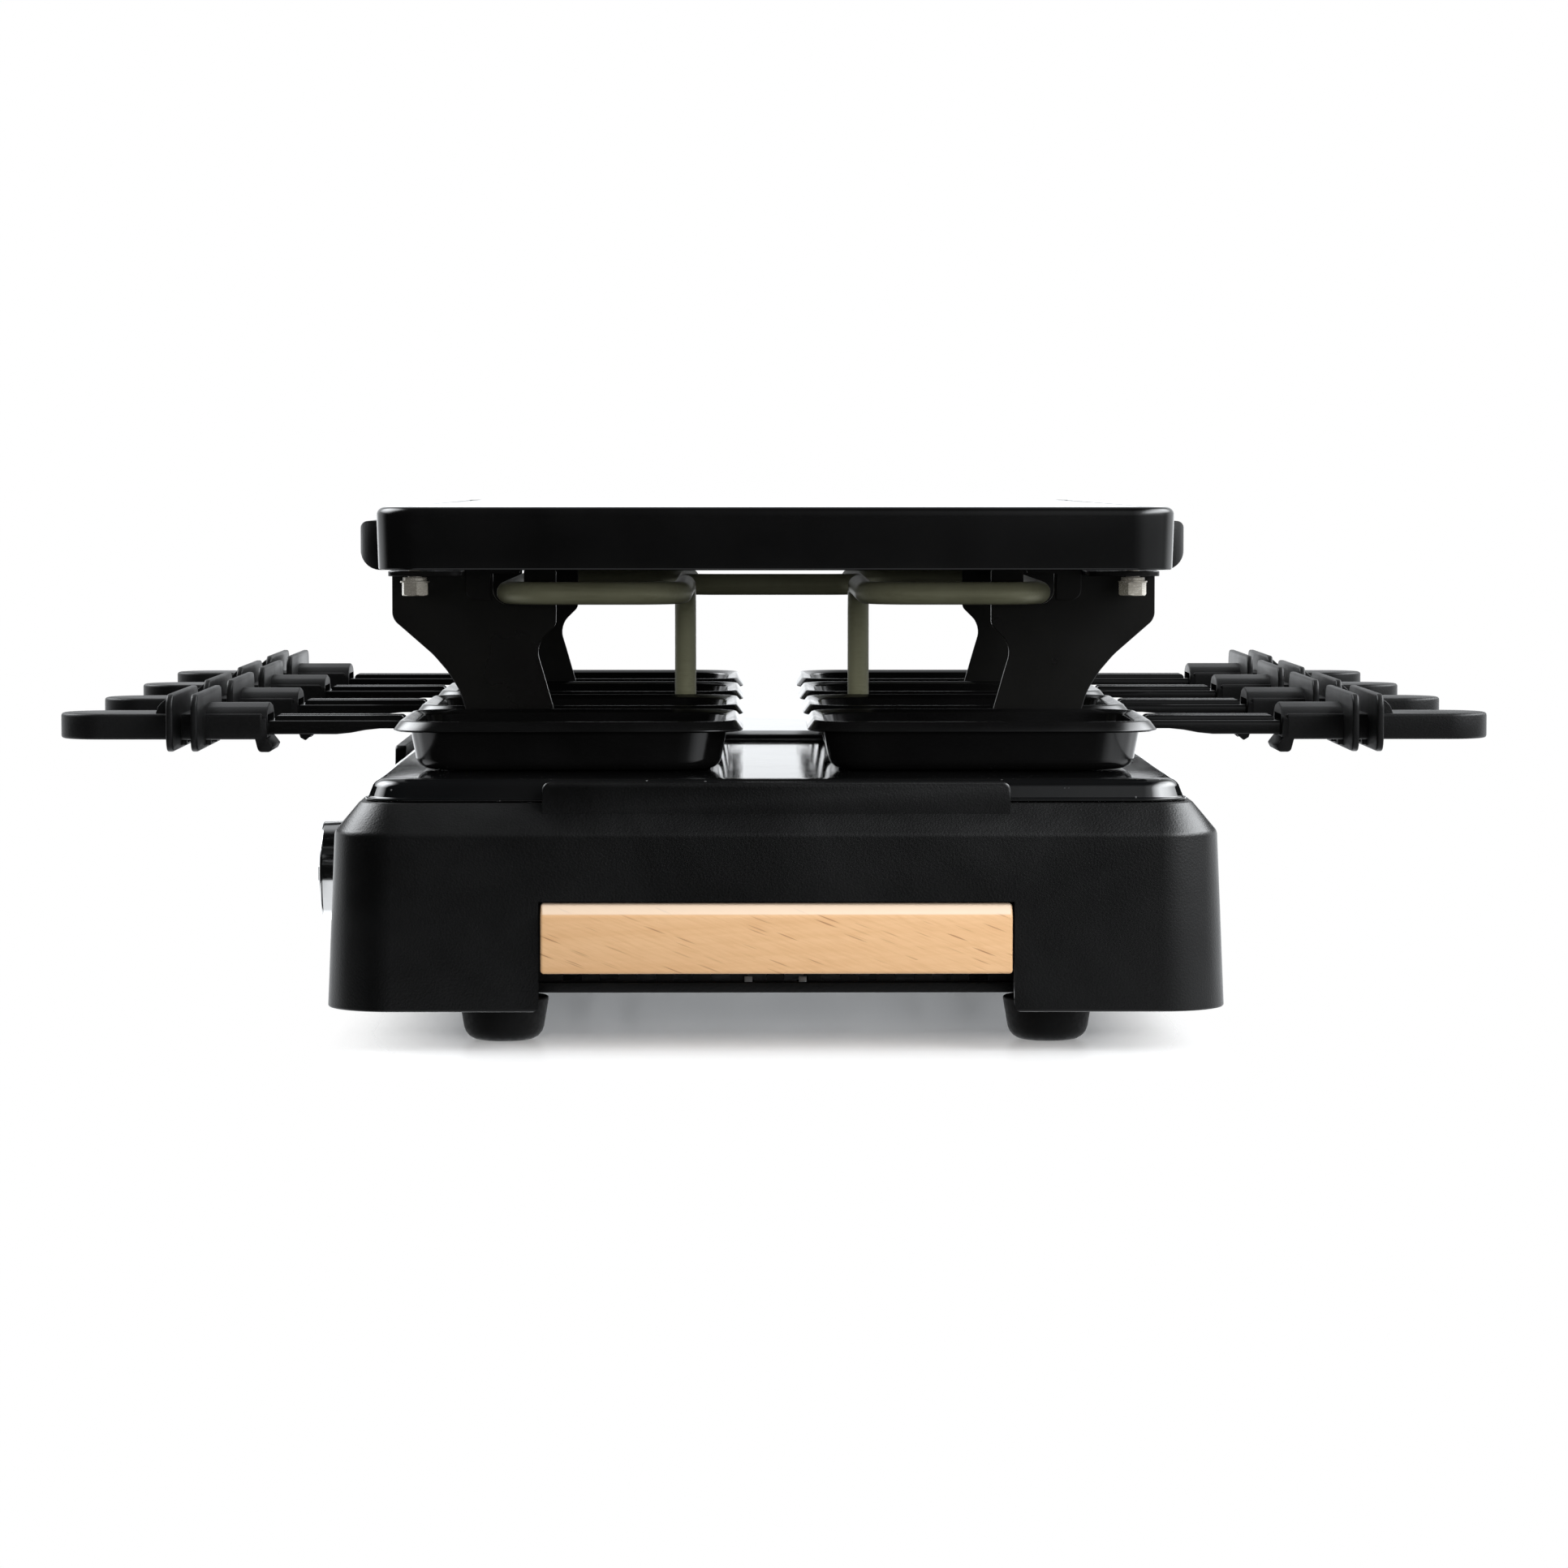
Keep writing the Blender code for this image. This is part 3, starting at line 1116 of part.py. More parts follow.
def pan_shape():
    """Pressed bowl with a flared, turned-down lip and a folded tang."""
    sheet = PAN_SHEET
    crest = LIP_WIDTH / 2
    wall_top = LIP_WIDTH
    low = PAN_BOTTOM_ROUND

    def at(inset, z):
        return ring(PAN_HALF_X - inset, PAN_HALF_Y - inset, PAN_CORNER - inset / 2, z)

    foot = wall_top + PAN_DRAFT
    bowl = loft([
        at(foot + low + sheet, sheet),
        at(foot + low / 3 + sheet, sheet + low / 3),
        at(foot + sheet - sheet / 3, sheet + low),
        at(wall_top + sheet, PAN_HEIGHT - sheet),
        at(crest, PAN_HEIGHT),
        at(sheet, PAN_HEIGHT - sheet / 2),
        at(0, PAN_HEIGHT - LIP_DROP),
        at(sheet, PAN_HEIGHT - LIP_DROP),
        at(wall_top, PAN_HEIGHT - LIP_DROP / 2 - sheet / 2),
        at(foot - sheet / 3, low),
        at(foot + low / 3, low / 3),
        at(foot + low, 0),
    ])
    return fused(bowl, pan_tang())


def pan_handle_shape():
    """Moulded handle: round tip, arched back, two guard fins and a thumb rest."""
    tip = arc((HANDLE_END - HANDLE_HALF, 0), HANDLE_HALF, -90, 90, SMALL_SIDES)
    plan = [(HANDLE_START, HANDLE_HALF), (HANDLE_START, -HANDLE_HALF)] + tip
    body = prism(plan, "Z", HANDLE_LOW, HANDLE_TOP)
    rise = HUMP_TOP - HUMP_SPRING
    hump = [(HANDLE_HALF, HANDLE_LOW)]
    hump += [(HANDLE_HALF * u, HUMP_SPRING + rise * v) for u, v in arc((0, 0), 1, 0, 180, SMALL_SIDES)]
    hump += [(-HANDLE_HALF, HANDLE_LOW)]
    middle_z = (FIN_LOW + FIN_TOP) / 2
    fin = [(y, middle_z + z) for y, z in rounded(FIN_HALF, (FIN_TOP - FIN_LOW) / 2, FIN_CORNER)]
    fins = joined([prism(fin, "X", x, x + FIN_THICKNESS) for x in (FIN_INNER_X, FIN_OUTER_X)])
    thumb_x = FIN_OUTER_X + FIN_THICKNESS
    thumb = [(thumb_x - SINK, HANDLE_TOP - SINK), (thumb_x + THUMB_REACH, HANDLE_TOP - SINK)]
    rest_rise = THUMB_TOP - HANDLE_TOP
    thumb += [(thumb_x + THUMB_REACH * u, HANDLE_TOP + rest_rise * v)
              for u, v in arc((0, 0), 1, 0, 90, EDGE_STEPS)]
    thumb += [(thumb_x - SINK, THUMB_TOP)]
    heel = box((HANDLE_START, -HANDLE_HALF, HANDLE_LOW - HEEL_DROP),
               (HANDLE_START + HEEL_LENGTH, HANDLE_HALF, HANDLE_LOW + SINK))
    body = fused(body, prism(hump, "X", HANDLE_START, FIN_INNER_X + SINK), fins,
                 prism(thumb, "Y", -THUMB_HALF, THUMB_HALF), heel)
    slot = box((HANDLE_START - OVERRUN, -TANG_HALF - GAP, TANG_TOP - TANG_FLANGE - GAP),
               (TANG_END + GAP, TANG_HALF + GAP, TANG_TOP + RIDGE_HEIGHT + GAP))
    return cut(body, slot)


def make_pans():
    """Four pans on each side; left ones are turned round to face -X."""
    pan_mesh = None
    handle_mesh = None
    number = 0
    for side in (-1, 1):
        for place in range(4):
            number += 1
            y = (place - 1.5) * PAN_PITCH
            slide = axis_empty(f"pan_{number}_slide", (side * PAN_X, y, PAN_Z), 90 - 90 * side)
            if pan_mesh is None:
                pan_mesh = node(f"pan_{number}", pan_shape(), "pan_coating", slide).data
                handle_mesh = node(f"pan_handle_{number}", pan_handle_shape(), "handle_black", slide).data
            else:
                place_object(f"pan_{number}", pan_mesh, slide)
                place_object(f"pan_handle_{number}", handle_mesh, slide)


def build():
    clear_scene()
    base = axis_empty("base_frame")
    plate = axis_empty("plate_lift_frame")
    dial = axis_empty("knob_axis", (0, 0, KNOB_Z))
    make_housing(base)
    make_bottom_cover(base)
    make_feet(base)
    make_deck(base)
    make_tie_bolts(base)
    make_bars(base)
    make_brackets(base)
    make_element(base)
    make_thermostat(base, dial)
    make_knob(dial)
    make_side_fittings(base)
    make_wiring(base)
    make_plate(plate)
    make_grips(plate)
    make_pans()


build()
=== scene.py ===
"""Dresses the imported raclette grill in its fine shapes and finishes.

X runs across the grill, Y along its long sides and Z up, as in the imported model.
Shapes are modelled in millimetres and brought to metres when a piece is placed.
"""

import math

import bmesh
import bpy
from mathutils import Matrix, Vector


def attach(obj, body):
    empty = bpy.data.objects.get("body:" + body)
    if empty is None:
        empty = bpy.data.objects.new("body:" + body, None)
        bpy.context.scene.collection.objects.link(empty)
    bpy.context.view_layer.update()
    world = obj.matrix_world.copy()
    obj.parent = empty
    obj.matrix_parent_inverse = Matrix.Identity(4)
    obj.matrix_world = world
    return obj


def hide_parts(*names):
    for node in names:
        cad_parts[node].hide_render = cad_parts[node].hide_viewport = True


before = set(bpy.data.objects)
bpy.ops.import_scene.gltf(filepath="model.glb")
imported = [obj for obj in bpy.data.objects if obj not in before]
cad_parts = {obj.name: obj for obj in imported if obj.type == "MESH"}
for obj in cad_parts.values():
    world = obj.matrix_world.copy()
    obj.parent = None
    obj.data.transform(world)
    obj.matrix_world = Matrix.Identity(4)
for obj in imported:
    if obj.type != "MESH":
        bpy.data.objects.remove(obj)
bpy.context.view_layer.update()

MM = 0.001
MERGE = 0.002
EDGE_ANGLE = math.radians(32)
QUARTERS = ((-1, -1), (1, -1), (-1, 1), (1, 1))

# Heights of the grill's levels
COVER_LOW = 12.0
HOUSING_LOW = 10.2
SHOULDER = 57.0
RIM = 65.0
DECK_TOP = 71.0
BRACKET_LOW = 71.3
BRACKET_TOP = 124.5
TUBE_Z = 118.05
PLATE_LOW = 126.2
PLATE_TOP = 143.2

# Half sizes in plan
HOUSING_X, HOUSING_Y, HOUSING_CORNER = 119.75, 235.0, 18.0
DECK_X, DECK_Y, DECK_CORNER = 109.75, 225.0, 12.0
PLATE_X, PLATE_Y, PLATE_CORNER = 108.0, 205.0, 12.0
PAN_X, PAN_Y, PAN_CORNER = 48.0, 42.0, 14.0
PAN_CENTRE, PAN_PITCH = 56.7, 100.0
POCKET_HALF, POCKET_TOP, POCKET_BACK = 62.6, 39.3, 190.0
HOUSING_LEAN = 2.0
KNOB_Z, LAMP_Y = 30.0, 36.0
GLAND_Y, GLAND_Z = 165.0, 24.0

# Places of fittings in the quarter at +X and +Y
FOOT_AT = (73.3, 205.0)
TIE_AT = (98.0, 175.0)
BOLT_AT = (102.5, 115.0)
LEG_X, LEG_Y, LEG_BORE = 26.5, -3.5, 3.75
LOOP_X, LOOP_Y = 76.5, 116.75
COVER_TAB_X = 7.4

# Focal length and width of the view, in pixels
FOCAL, PICTURE = 6444, 1932


# Shaders

def shader_group(name, *outputs, **values):
    """An empty shader node group that takes a vector and some numbers."""
    tree = bpy.data.node_groups.new(name, "ShaderNodeTree")
    tree.interface.new_socket("Vector", in_out="INPUT", socket_type="NodeSocketVector")
    for label, value in values.items():
        tree.interface.new_socket(label, in_out="INPUT", socket_type="NodeSocketFloat").default_value = value
    for label in outputs:
        kind = "Vector" if label == "Normal" else "Float"
        tree.interface.new_socket(label, in_out="OUTPUT", socket_type=f"NodeSocket{kind}")
    return tree, tree.nodes.new("NodeGroupInput").outputs, tree.nodes.new("NodeGroupOutput").inputs


def feed(tree, socket, value):
    """Link a socket to another one, or give it a fixed value."""
    if isinstance(value, bpy.types.NodeSocket):
        tree.links.new(value, socket)
    elif value is not None:
        socket.default_value = value


def add_node(tree, kind, inputs=(), **settings):
    """Add a node, set its fields, and link or fill its named inputs."""
    item = tree.nodes.new(f"ShaderNode{kind}")
    for field, value in settings.items():
        setattr(item, field, value)
    for label, value in dict(inputs).items():
        feed(tree, item.inputs[label], value)
    return item


def maths(tree, operation, whole, *others):
    """A calculation on one value, or on several of them one after the other."""
    for other in others or (None,):
        whole = add_node(tree, "Math", {0: whole, 1: other}, operation=operation).outputs[0]
    return whole


def blend_colour(tree, factor, first, second):
    """A colour mix whose factor and colours are sockets or fixed values."""
    return add_node(tree, "Mix", {0: factor, 6: first, 7: second}, data_type="RGBA").outputs[2]


def spread(tree, source, low, high, out_low=0.0, out_high=1.0):
    """Bring a value from one range to another and hold it there."""
    inputs = {"Value": source, "From Min": low, "From Max": high, "To Min": out_low, "To Max": out_high}
    return add_node(tree, "MapRange", inputs).outputs["Result"]


def make_cast_grain():
    """Small irregular relief, as on moulded plastic or a sprayed coat."""
    tree, given, out = shader_group("cast_grain", "Mask", "Normal", Scale=1500.0, Depth=0.3, Reach=0.0001)
    fine = add_node(tree, "TexNoise", {"Vector": given["Vector"], "Scale": given["Scale"],
                                       "Detail": 3.0, "Roughness": 0.6})
    cells = add_node(tree, "TexVoronoi", {"Vector": given["Vector"], "Scale": given["Scale"]},
                     feature="SMOOTH_F1")
    both = maths(tree, "ADD", fine.outputs["Fac"], cells.outputs["Distance"])
    bump = add_node(tree, "Bump", {"Height": both, "Strength": given["Depth"], "Distance": given["Reach"]})
    tree.links.new(spread(tree, fine.outputs["Fac"], 0.35, 0.65), out["Mask"])
    tree.links.new(bump.outputs["Normal"], out["Normal"])
    return tree


def make_soft_clouds():
    """Large soft patches, for handling marks and uneven coats."""
    tree, given, out = shader_group("soft_clouds", "Mask", Scale=20.0)
    noise = add_node(tree, "TexNoise", {"Vector": given["Vector"], "Scale": given["Scale"],
                                        "Detail": 5.0, "Roughness": 0.55, "Distortion": 0.4})
    tree.links.new(spread(tree, noise.outputs["Fac"], 0.35, 0.68), out["Mask"])
    return tree


def make_flecks():
    """Sparse bright points, as in a coat with ground mineral."""
    tree, given, out = shader_group("flecks", "Mask", Scale=1200.0, Share=0.3)
    cells = add_node(tree, "TexVoronoi", {"Vector": given["Vector"], "Scale": given["Scale"]})
    near = spread(tree, cells.outputs["Distance"], 0.32, 0.18)
    picked = add_node(tree, "SeparateColor", {"Color": cells.outputs["Color"]})
    chosen = maths(tree, "LESS_THAN", picked.outputs[0], given["Share"])
    tree.links.new(maths(tree, "MULTIPLY", near, chosen), out["Mask"])
    return tree


def make_drawn_lines():
    """Fine lines along X, as left by drawing, rolling or brushing."""
    tree, given, out = shader_group("drawn_lines", "Mask", "Normal", Scale=2500.0, Stretch=0.02, Depth=0.1)
    stretch = add_node(tree, "CombineXYZ", {"X": given["Stretch"], "Y": 1.0, "Z": 1.0})
    drawn = add_node(tree, "VectorMath", {0: given["Vector"], 1: stretch.outputs[0]}, operation="MULTIPLY")
    noise = add_node(tree, "TexNoise", {"Vector": drawn.outputs[0], "Scale": given["Scale"],
                                        "Detail": 4.0, "Roughness": 0.7})
    bump = add_node(tree, "Bump", {"Height": noise.outputs["Fac"], "Strength": given["Depth"],
                                   "Distance": 0.00005})
    tree.links.new(spread(tree, noise.outputs["Fac"], 0.3, 0.7), out["Mask"])
    tree.links.new(bump.outputs["Normal"], out["Normal"])
    return tree


CAST_GRAIN = make_cast_grain()
SOFT_CLOUDS = make_soft_clouds()
FLECKS = make_flecks()
DRAWN_LINES = make_drawn_lines()


FINISHES = {}


class Finish:
    """One material being put together round its Principled BSDF, and kept under its name."""

    def __init__(self, name, **constants):
        self.material = FINISHES[name] = bpy.data.materials.new(name)
        self.material.use_nodes = True
        self.tree = self.material.node_tree
        self.shader = self.tree.nodes["Principled BSDF"]
        for label, value in constants.items():
            self.shader.inputs[label.replace("_", " ")].default_value = value
        self.where = add_node(self.tree, "TexCoord").outputs["Object"]

    def effect(self, group, vector=None, **values):
        """A shared effect with its own values; each is a number or a socket."""
        inputs = {"Vector": vector or self.where, **values}
        return add_node(self.tree, "Group", inputs, node_tree=group).outputs

    def colour(self, source):
        self.tree.links.new(source, self.shader.inputs["Base Color"])

    def mixed(self, factor, first, second):
        self.colour(blend_colour(self.tree, factor, first, second))

    def roughness(self, source, low, high):
        self.tree.links.new(spread(self.tree, source, 0.0, 1.0, low, high), self.shader.inputs["Roughness"])

    def normal(self, source):
        self.tree.links.new(source, self.shader.inputs["Normal"])

    def facing_up(self):
        """The height of the surface's normal: 1 on top, 0 on upright faces."""
        normal = self.tree.nodes["Texture Coordinate"].outputs["Normal"]
        return add_node(self.tree, "SeparateXYZ", {"Vector": normal}).outputs["Z"]

    def turned(self, degrees):
        """The object's coordinates turned about X, Y and Z."""
        turn = [math.radians(angle) for angle in degrees]
        return add_node(self.tree, "Mapping", {"Vector": self.where, "Rotation": turn}).outputs[0]


def grey(level, tint=(1.0, 1.0, 1.0)):
    return (*(level * part for part in tint), 1.0)


def moulded(name, dark, light, rough, grain_scale, depth, specular):
    """Textured black plastic: fine relief over faint cloudy sheen."""
    made = Finish(name, Specular_IOR_Level=specular)
    grain = made.effect(CAST_GRAIN, Scale=grain_scale, Depth=depth, Reach=0.0001)
    clouds = made.effect(SOFT_CLOUDS, Scale=26.0)
    tone = blend_colour(made.tree, clouds["Mask"], dark, light)
    made.mixed(grain["Mask"], tone, light)
    made.roughness(clouds["Mask"], rough - 0.05, rough + 0.06)
    made.normal(grain["Normal"])


def pan_coat():
    """Baked non-stick coat of the pans: pebbled walls, smooth lips and floor, sparse mineral flecks."""
    made = Finish("pan_coating", Specular_IOR_Level=0.5)
    level = maths(made.tree, "ABSOLUTE", made.facing_up())
    pebbles = made.effect(CAST_GRAIN, Scale=2300.0, Depth=spread(made.tree, level, 0.15, 0.45, 0.05, 0.0),
                          Reach=0.0001)
    flecks = made.effect(FLECKS, Scale=3200.0, Share=0.22)
    clouds = made.effect(SOFT_CLOUDS, Scale=34.0)
    tone = blend_colour(made.tree, clouds["Mask"], grey(0.0026), grey(0.0040))
    made.mixed(flecks["Mask"], tone, grey(0.010))
    made.roughness(clouds["Mask"], 0.13, 0.19)
    made.normal(pebbles["Normal"])


def metal(name, dark, light, rough, line_scale=2600.0, stretch=0.03, depth=0.08, metallic=1.0):
    """Bare or plated metal with drawn lines and soft tarnish."""
    made = Finish(name, Metallic=metallic)
    lines = made.effect(DRAWN_LINES, Scale=line_scale, Stretch=stretch, Depth=depth)
    clouds = made.effect(SOFT_CLOUDS, Scale=60.0)
    tone = blend_colour(made.tree, clouds["Mask"], dark, light)
    made.mixed(lines["Mask"], tone, light)
    made.roughness(lines["Mask"], rough - 0.05, rough + 0.1)
    made.normal(lines["Normal"])


def enamel():
    """Mirror-like black enamel with the faint ripple of a fired coat and a few specks of dust."""
    made = Finish("enamel_black", Specular_IOR_Level=0.6, Coat_Weight=0.2, Coat_Roughness=0.04)
    ripple = made.effect(CAST_GRAIN, Scale=260.0, Depth=0.03, Reach=0.0002)
    clouds = made.effect(SOFT_CLOUDS, Scale=14.0)
    specks = made.effect(FLECKS, Scale=900.0, Share=0.03)
    tone = blend_colour(made.tree, clouds["Mask"], grey(0.0030, (0.95, 1.0, 1.06)), grey(0.0050))
    made.mixed(specks["Mask"], tone, grey(0.10))
    made.roughness(clouds["Mask"], 0.05, 0.10)
    made.normal(ripple["Normal"])


def plate_coat():
    """Smooth non-stick coat of the cast plate: pebbled on the sides, polished flat on the cooking side."""
    made = Finish("nonstick", Specular_IOR_Level=0.4)
    height = add_node(made.tree, "SeparateXYZ", {"Vector": made.where}).outputs["Z"]
    below = spread(made.tree, height, (PLATE_TOP - 0.1) * MM, (PLATE_TOP - 0.8) * MM)
    pebbles = made.effect(CAST_GRAIN, Scale=700.0, Depth=maths(made.tree, "MULTIPLY", below, 0.05),
                          Reach=0.0001)
    clouds = made.effect(SOFT_CLOUDS, Scale=34.0)
    made.mixed(clouds["Mask"], grey(0.0018), grey(0.0034))
    made.roughness(below, 0.05, 0.17)
    made.normal(pebbles["Normal"])


def galvanised():
    """Zinc spangle on rolled sheet."""
    made = Finish("galvanised", Metallic=0.7)
    spangle = add_node(made.tree, "TexVoronoi", {"Vector": made.where, "Scale": 130.0})
    shade = add_node(made.tree, "SeparateColor", {"Color": spangle.outputs["Color"]})
    lines = made.effect(DRAWN_LINES, Scale=1800.0, Stretch=0.02, Depth=0.05)
    made.mixed(shade.outputs[0], grey(0.20, (0.97, 1.0, 1.03)), grey(0.30))
    made.roughness(shade.outputs[1], 0.26, 0.44)
    made.normal(lines["Normal"])


def beech():
    """Beech cut along the grain: soft bands, fine fibres and thin slanted ray flecks, with a painted
    highlight that lightens the upward-facing bevel as if lit from above.
    """
    made = Finish("beech", Specular_IOR_Level=0.35)
    tree = made.tree
    # The third colour is a painted highlight for faces turned upwards, not a different wood.
    pale, band, painted_top_light = (0.76, 0.485, 0.265, 1), (0.70, 0.425, 0.220, 1), (0.93, 0.76, 0.60, 1)
    fibre_brown, fleck_brown = (0.62, 0.36, 0.175, 1), (0.40, 0.205, 0.10, 1)
    drift = add_node(tree, "Mapping", {"Vector": made.turned((0, 3, 0)), "Scale": (9.0, 160.0, 330.0)})
    bands = add_node(tree, "TexNoise", {"Vector": drift.outputs[0],
                                        "Scale": 1.0, "Detail": 5.0, "Roughness": 0.6, "Distortion": 0.5})
    tone = blend_colour(tree, spread(tree, bands.outputs["Fac"], 0.34, 0.66), pale, band)
    slope = made.turned((0, -21, 0))
    fibre = add_node(tree, "Mapping", {"Vector": slope, "Scale": (160.0, 900.0, 1900.0)})
    fibres = add_node(tree, "TexNoise", {"Vector": fibre.outputs[0], "Scale": 1.0, "Detail": 3.0})
    tone = blend_colour(tree, spread(tree, fibres.outputs["Fac"], 0.42, 0.72, 0.0, 0.45), tone, fibre_brown)
    long = add_node(tree, "Mapping", {"Vector": slope, "Scale": (120.0, 300.0, 1900.0)})
    rays = add_node(tree, "TexVoronoi", {"Vector": long.outputs[0], "Scale": 1.0})
    pick = add_node(tree, "SeparateColor", {"Color": rays.outputs["Color"]})
    few = spread(tree, pick.outputs[0], 0.17, 0.0)
    ray = maths(tree, "MULTIPLY", spread(tree, rays.outputs["Distance"], 0.46, 0.20), few)
    tone = blend_colour(tree, ray, tone, fleck_brown)
    # Painted highlight: faces turned upwards, such as the top bevel, are blended towards a pale colour to
    # stand in for light from above.
    made.mixed(spread(tree, made.facing_up(), 0.45, 0.65, 0.0, 0.75), tone, painted_top_light)
    made.roughness(bands.outputs["Fac"], 0.42, 0.60)
    relief = add_node(tree, "Bump", {"Height": fibres.outputs["Fac"], "Strength": 0.12, "Distance": 0.0001})
    made.normal(relief.outputs[0])


def sleeve():
    """Woven glass sleeve of the inner leads."""
    made = Finish("lead_sleeve", Roughness=0.8)
    weave = add_node(made.tree, "TexChecker", {
        "Vector": made.turned((35, 35, 45)), "Scale": 1100.0, "Color1": grey(0.42, (1.0, 0.97, 0.88)),
        "Color2": grey(0.26)})
    made.colour(weave.outputs["Color"])
    relief = add_node(made.tree, "Bump", {"Height": weave.outputs["Fac"],
                                          "Strength": 0.4, "Distance": 0.0002})
    made.normal(relief.outputs[0])


def lamp_lens():
    """Amber lens with fine inner ribs."""
    made = Finish("lens_amber", Transmission_Weight=0.35, Roughness=0.15)
    ribs = made.effect(DRAWN_LINES, made.turned((0, 0, 90)), Scale=900.0, Stretch=0.01, Depth=0.35)
    made.mixed(ribs["Mask"], (0.70, 0.22, 0.02, 1), (0.95, 0.42, 0.06, 1))
    made.normal(ribs["Normal"])


def powdery(name, dark, light, rough, specular=0.4):
    """Unglazed ceramic, phenolic or rubber."""
    made = Finish(name, Specular_IOR_Level=specular)
    grain = made.effect(CAST_GRAIN, Scale=700.0, Depth=0.25, Reach=0.0001)
    made.mixed(grain["Mask"], dark, light)
    made.roughness(grain["Mask"], rough - 0.06, rough + 0.06)
    made.normal(grain["Normal"])


WARM, CREAM, RUST = (1, 0.97, 0.90), (1, 0.98, 0.92), (1, 0.8, 0.68)
moulded("moulded_black", grey(0.0007), grey(0.0014, (1, 1, 1.02)), 0.36, 1900.0, 0.33, 0.40)
moulded("handle_black", grey(0.0022), grey(0.0042, (1, 1, 1.03)), 0.43, 1700.0, 0.30, 0.24)
moulded("painted_black", grey(0.0030, WARM), grey(0.0060, WARM), 0.30, 1500.0, 0.12, 0.38)
enamel()
galvanised()
beech()
powdery("rubber_black", grey(0.0012), grey(0.0030), 0.70, 0.2)
plate_coat()
pan_coat()
metal("element_olive", grey(0.190, (1.0, 1.0, 0.62)), grey(0.290, (1.0, 1.0, 0.66)), 0.42,
      line_scale=900.0, stretch=0.05, depth=0.10, metallic=0.25)
metal("zinc", grey(0.40, (1.0, 0.90, 0.72)), grey(0.66, (1.0, 0.95, 0.84)), 0.22, stretch=0.2, metallic=0.55)
metal("chrome", grey(0.80), grey(0.90), 0.09, line_scale=3200.0, stretch=0.02, depth=0.02)
metal("brass", (0.52, 0.34, 0.13, 1), (0.78, 0.58, 0.27, 1), 0.3)
powdery("ceramic", grey(0.66, CREAM), grey(0.80, CREAM), 0.55)
powdery("phenolic", grey(0.024, RUST), grey(0.045, RUST), 0.45)
lamp_lens()
sleeve()


# Shaping

def settled(bm):
    """Merge doubles and turn a closed shape's faces outwards."""
    bmesh.ops.remove_doubles(bm, verts=bm.verts, dist=MERGE)
    bmesh.ops.recalc_face_normals(bm, faces=bm.faces)
    if bm.calc_volume(signed=True) < 0:
        bmesh.ops.reverse_faces(bm, faces=bm.faces)
    return bm


def section(corners, steps=4):
    """Points of an outline through (u, v, radius) corners, rounded by vertex bevels."""
    bm = bmesh.new()
    verts = [bm.verts.new((u, v, 0)) for u, v, _ in corners]
    bm.faces.new(verts)
    flat = [Vector((u, v, 0)) for u, v, _ in corners]
    for index, (vert, corner) in enumerate(zip(verts, corners)):
        if corner[2] == 0:
            continue
        back = flat[index - 1] - flat[index]
        ahead = flat[(index + 1) % len(flat)] - flat[index]
        reach = corner[2] / math.tan(back.angle(ahead) / 2)
        reach = min(reach, 0.48 * back.length, 0.48 * ahead.length)
        bmesh.ops.bevel(bm, geom=[vert], offset=reach, offset_type="OFFSET", segments=steps, profile=0.5,
                        affect="VERTICES", material=-1)
    bm.normal_update()
    points = [loop.vert.co.xy.copy() for loop in bm.faces[:][0].loops]
    start = min(range(len(points)), key=lambda index: (points[index] - flat[0].xy).length)
    points = points[start:] + points[:start]
    bm.free()
    return points


PLANES = {
    "X": lambda u, v: Vector((0, u, v)),
    "Y": lambda u, v: Vector((u, 0, v)),
    "Z": lambda u, v: Vector((u, v, 0)),
}
AXES = {"X": Vector((1, 0, 0)), "Y": Vector((0, 1, 0)), "Z": Vector((0, 0, 1))}


def prism(corners, axis, low, high, steps=4):
    """A rounded outline in the two other axes, extruded along the named axis."""
    bm = bmesh.new()
    stand = PLANES[axis]
    bm.faces.new([bm.verts.new(stand(*point) + AXES[axis] * low) for point in section(corners, steps)])
    far_side, _ = wire_of(bmesh.ops.extrude_face_region(bm, geom=bm.faces[:])["geom"])
    bmesh.ops.translate(bm, verts=far_side, vec=AXES[axis] * (high - low))
    return settled(bm)


def rounded(half_x, half_y, corner):
    """The corners of a rectangle about the middle, each with its rounding."""
    return [(x * half_x, y * half_y, corner) for x, y in ((-1, -1), (1, -1), (1, 1), (-1, 1))]


def hexagon(radius, rounding, turn):
    """The corners of a hexagon about the middle."""
    angles = [math.radians(60 * side + turn) for side in range(6)]
    return [(radius * math.cos(angle), radius * math.sin(angle), rounding) for angle in angles]


def wire_of(items):
    """The vertices among some geometry, and the edges that join them."""
    verts = [item for item in items if isinstance(item, bmesh.types.BMVert)]
    inside = set(verts)
    edges = [item for item in items if isinstance(item, bmesh.types.BMEdge) and set(item.verts) <= inside]
    return verts, edges


def stretch(bm, edges, vector):
    """Extrude a wire and move the new wire along a vector."""
    verts, edges = wire_of(bmesh.ops.extrude_edge_only(bm, edges=edges)["geom"])
    bmesh.ops.translate(bm, verts=verts, vec=vector)
    return verts, edges


def bend(bm, verts, edges, centre, axis, angle, steps):
    """Spin a wire about an axis."""
    return wire_of(bmesh.ops.spin(bm, geom=verts + edges, cent=centre, axis=axis, angle=angle, steps=steps,
                                  use_merge=False, use_duplicate=False)["geom_last"])


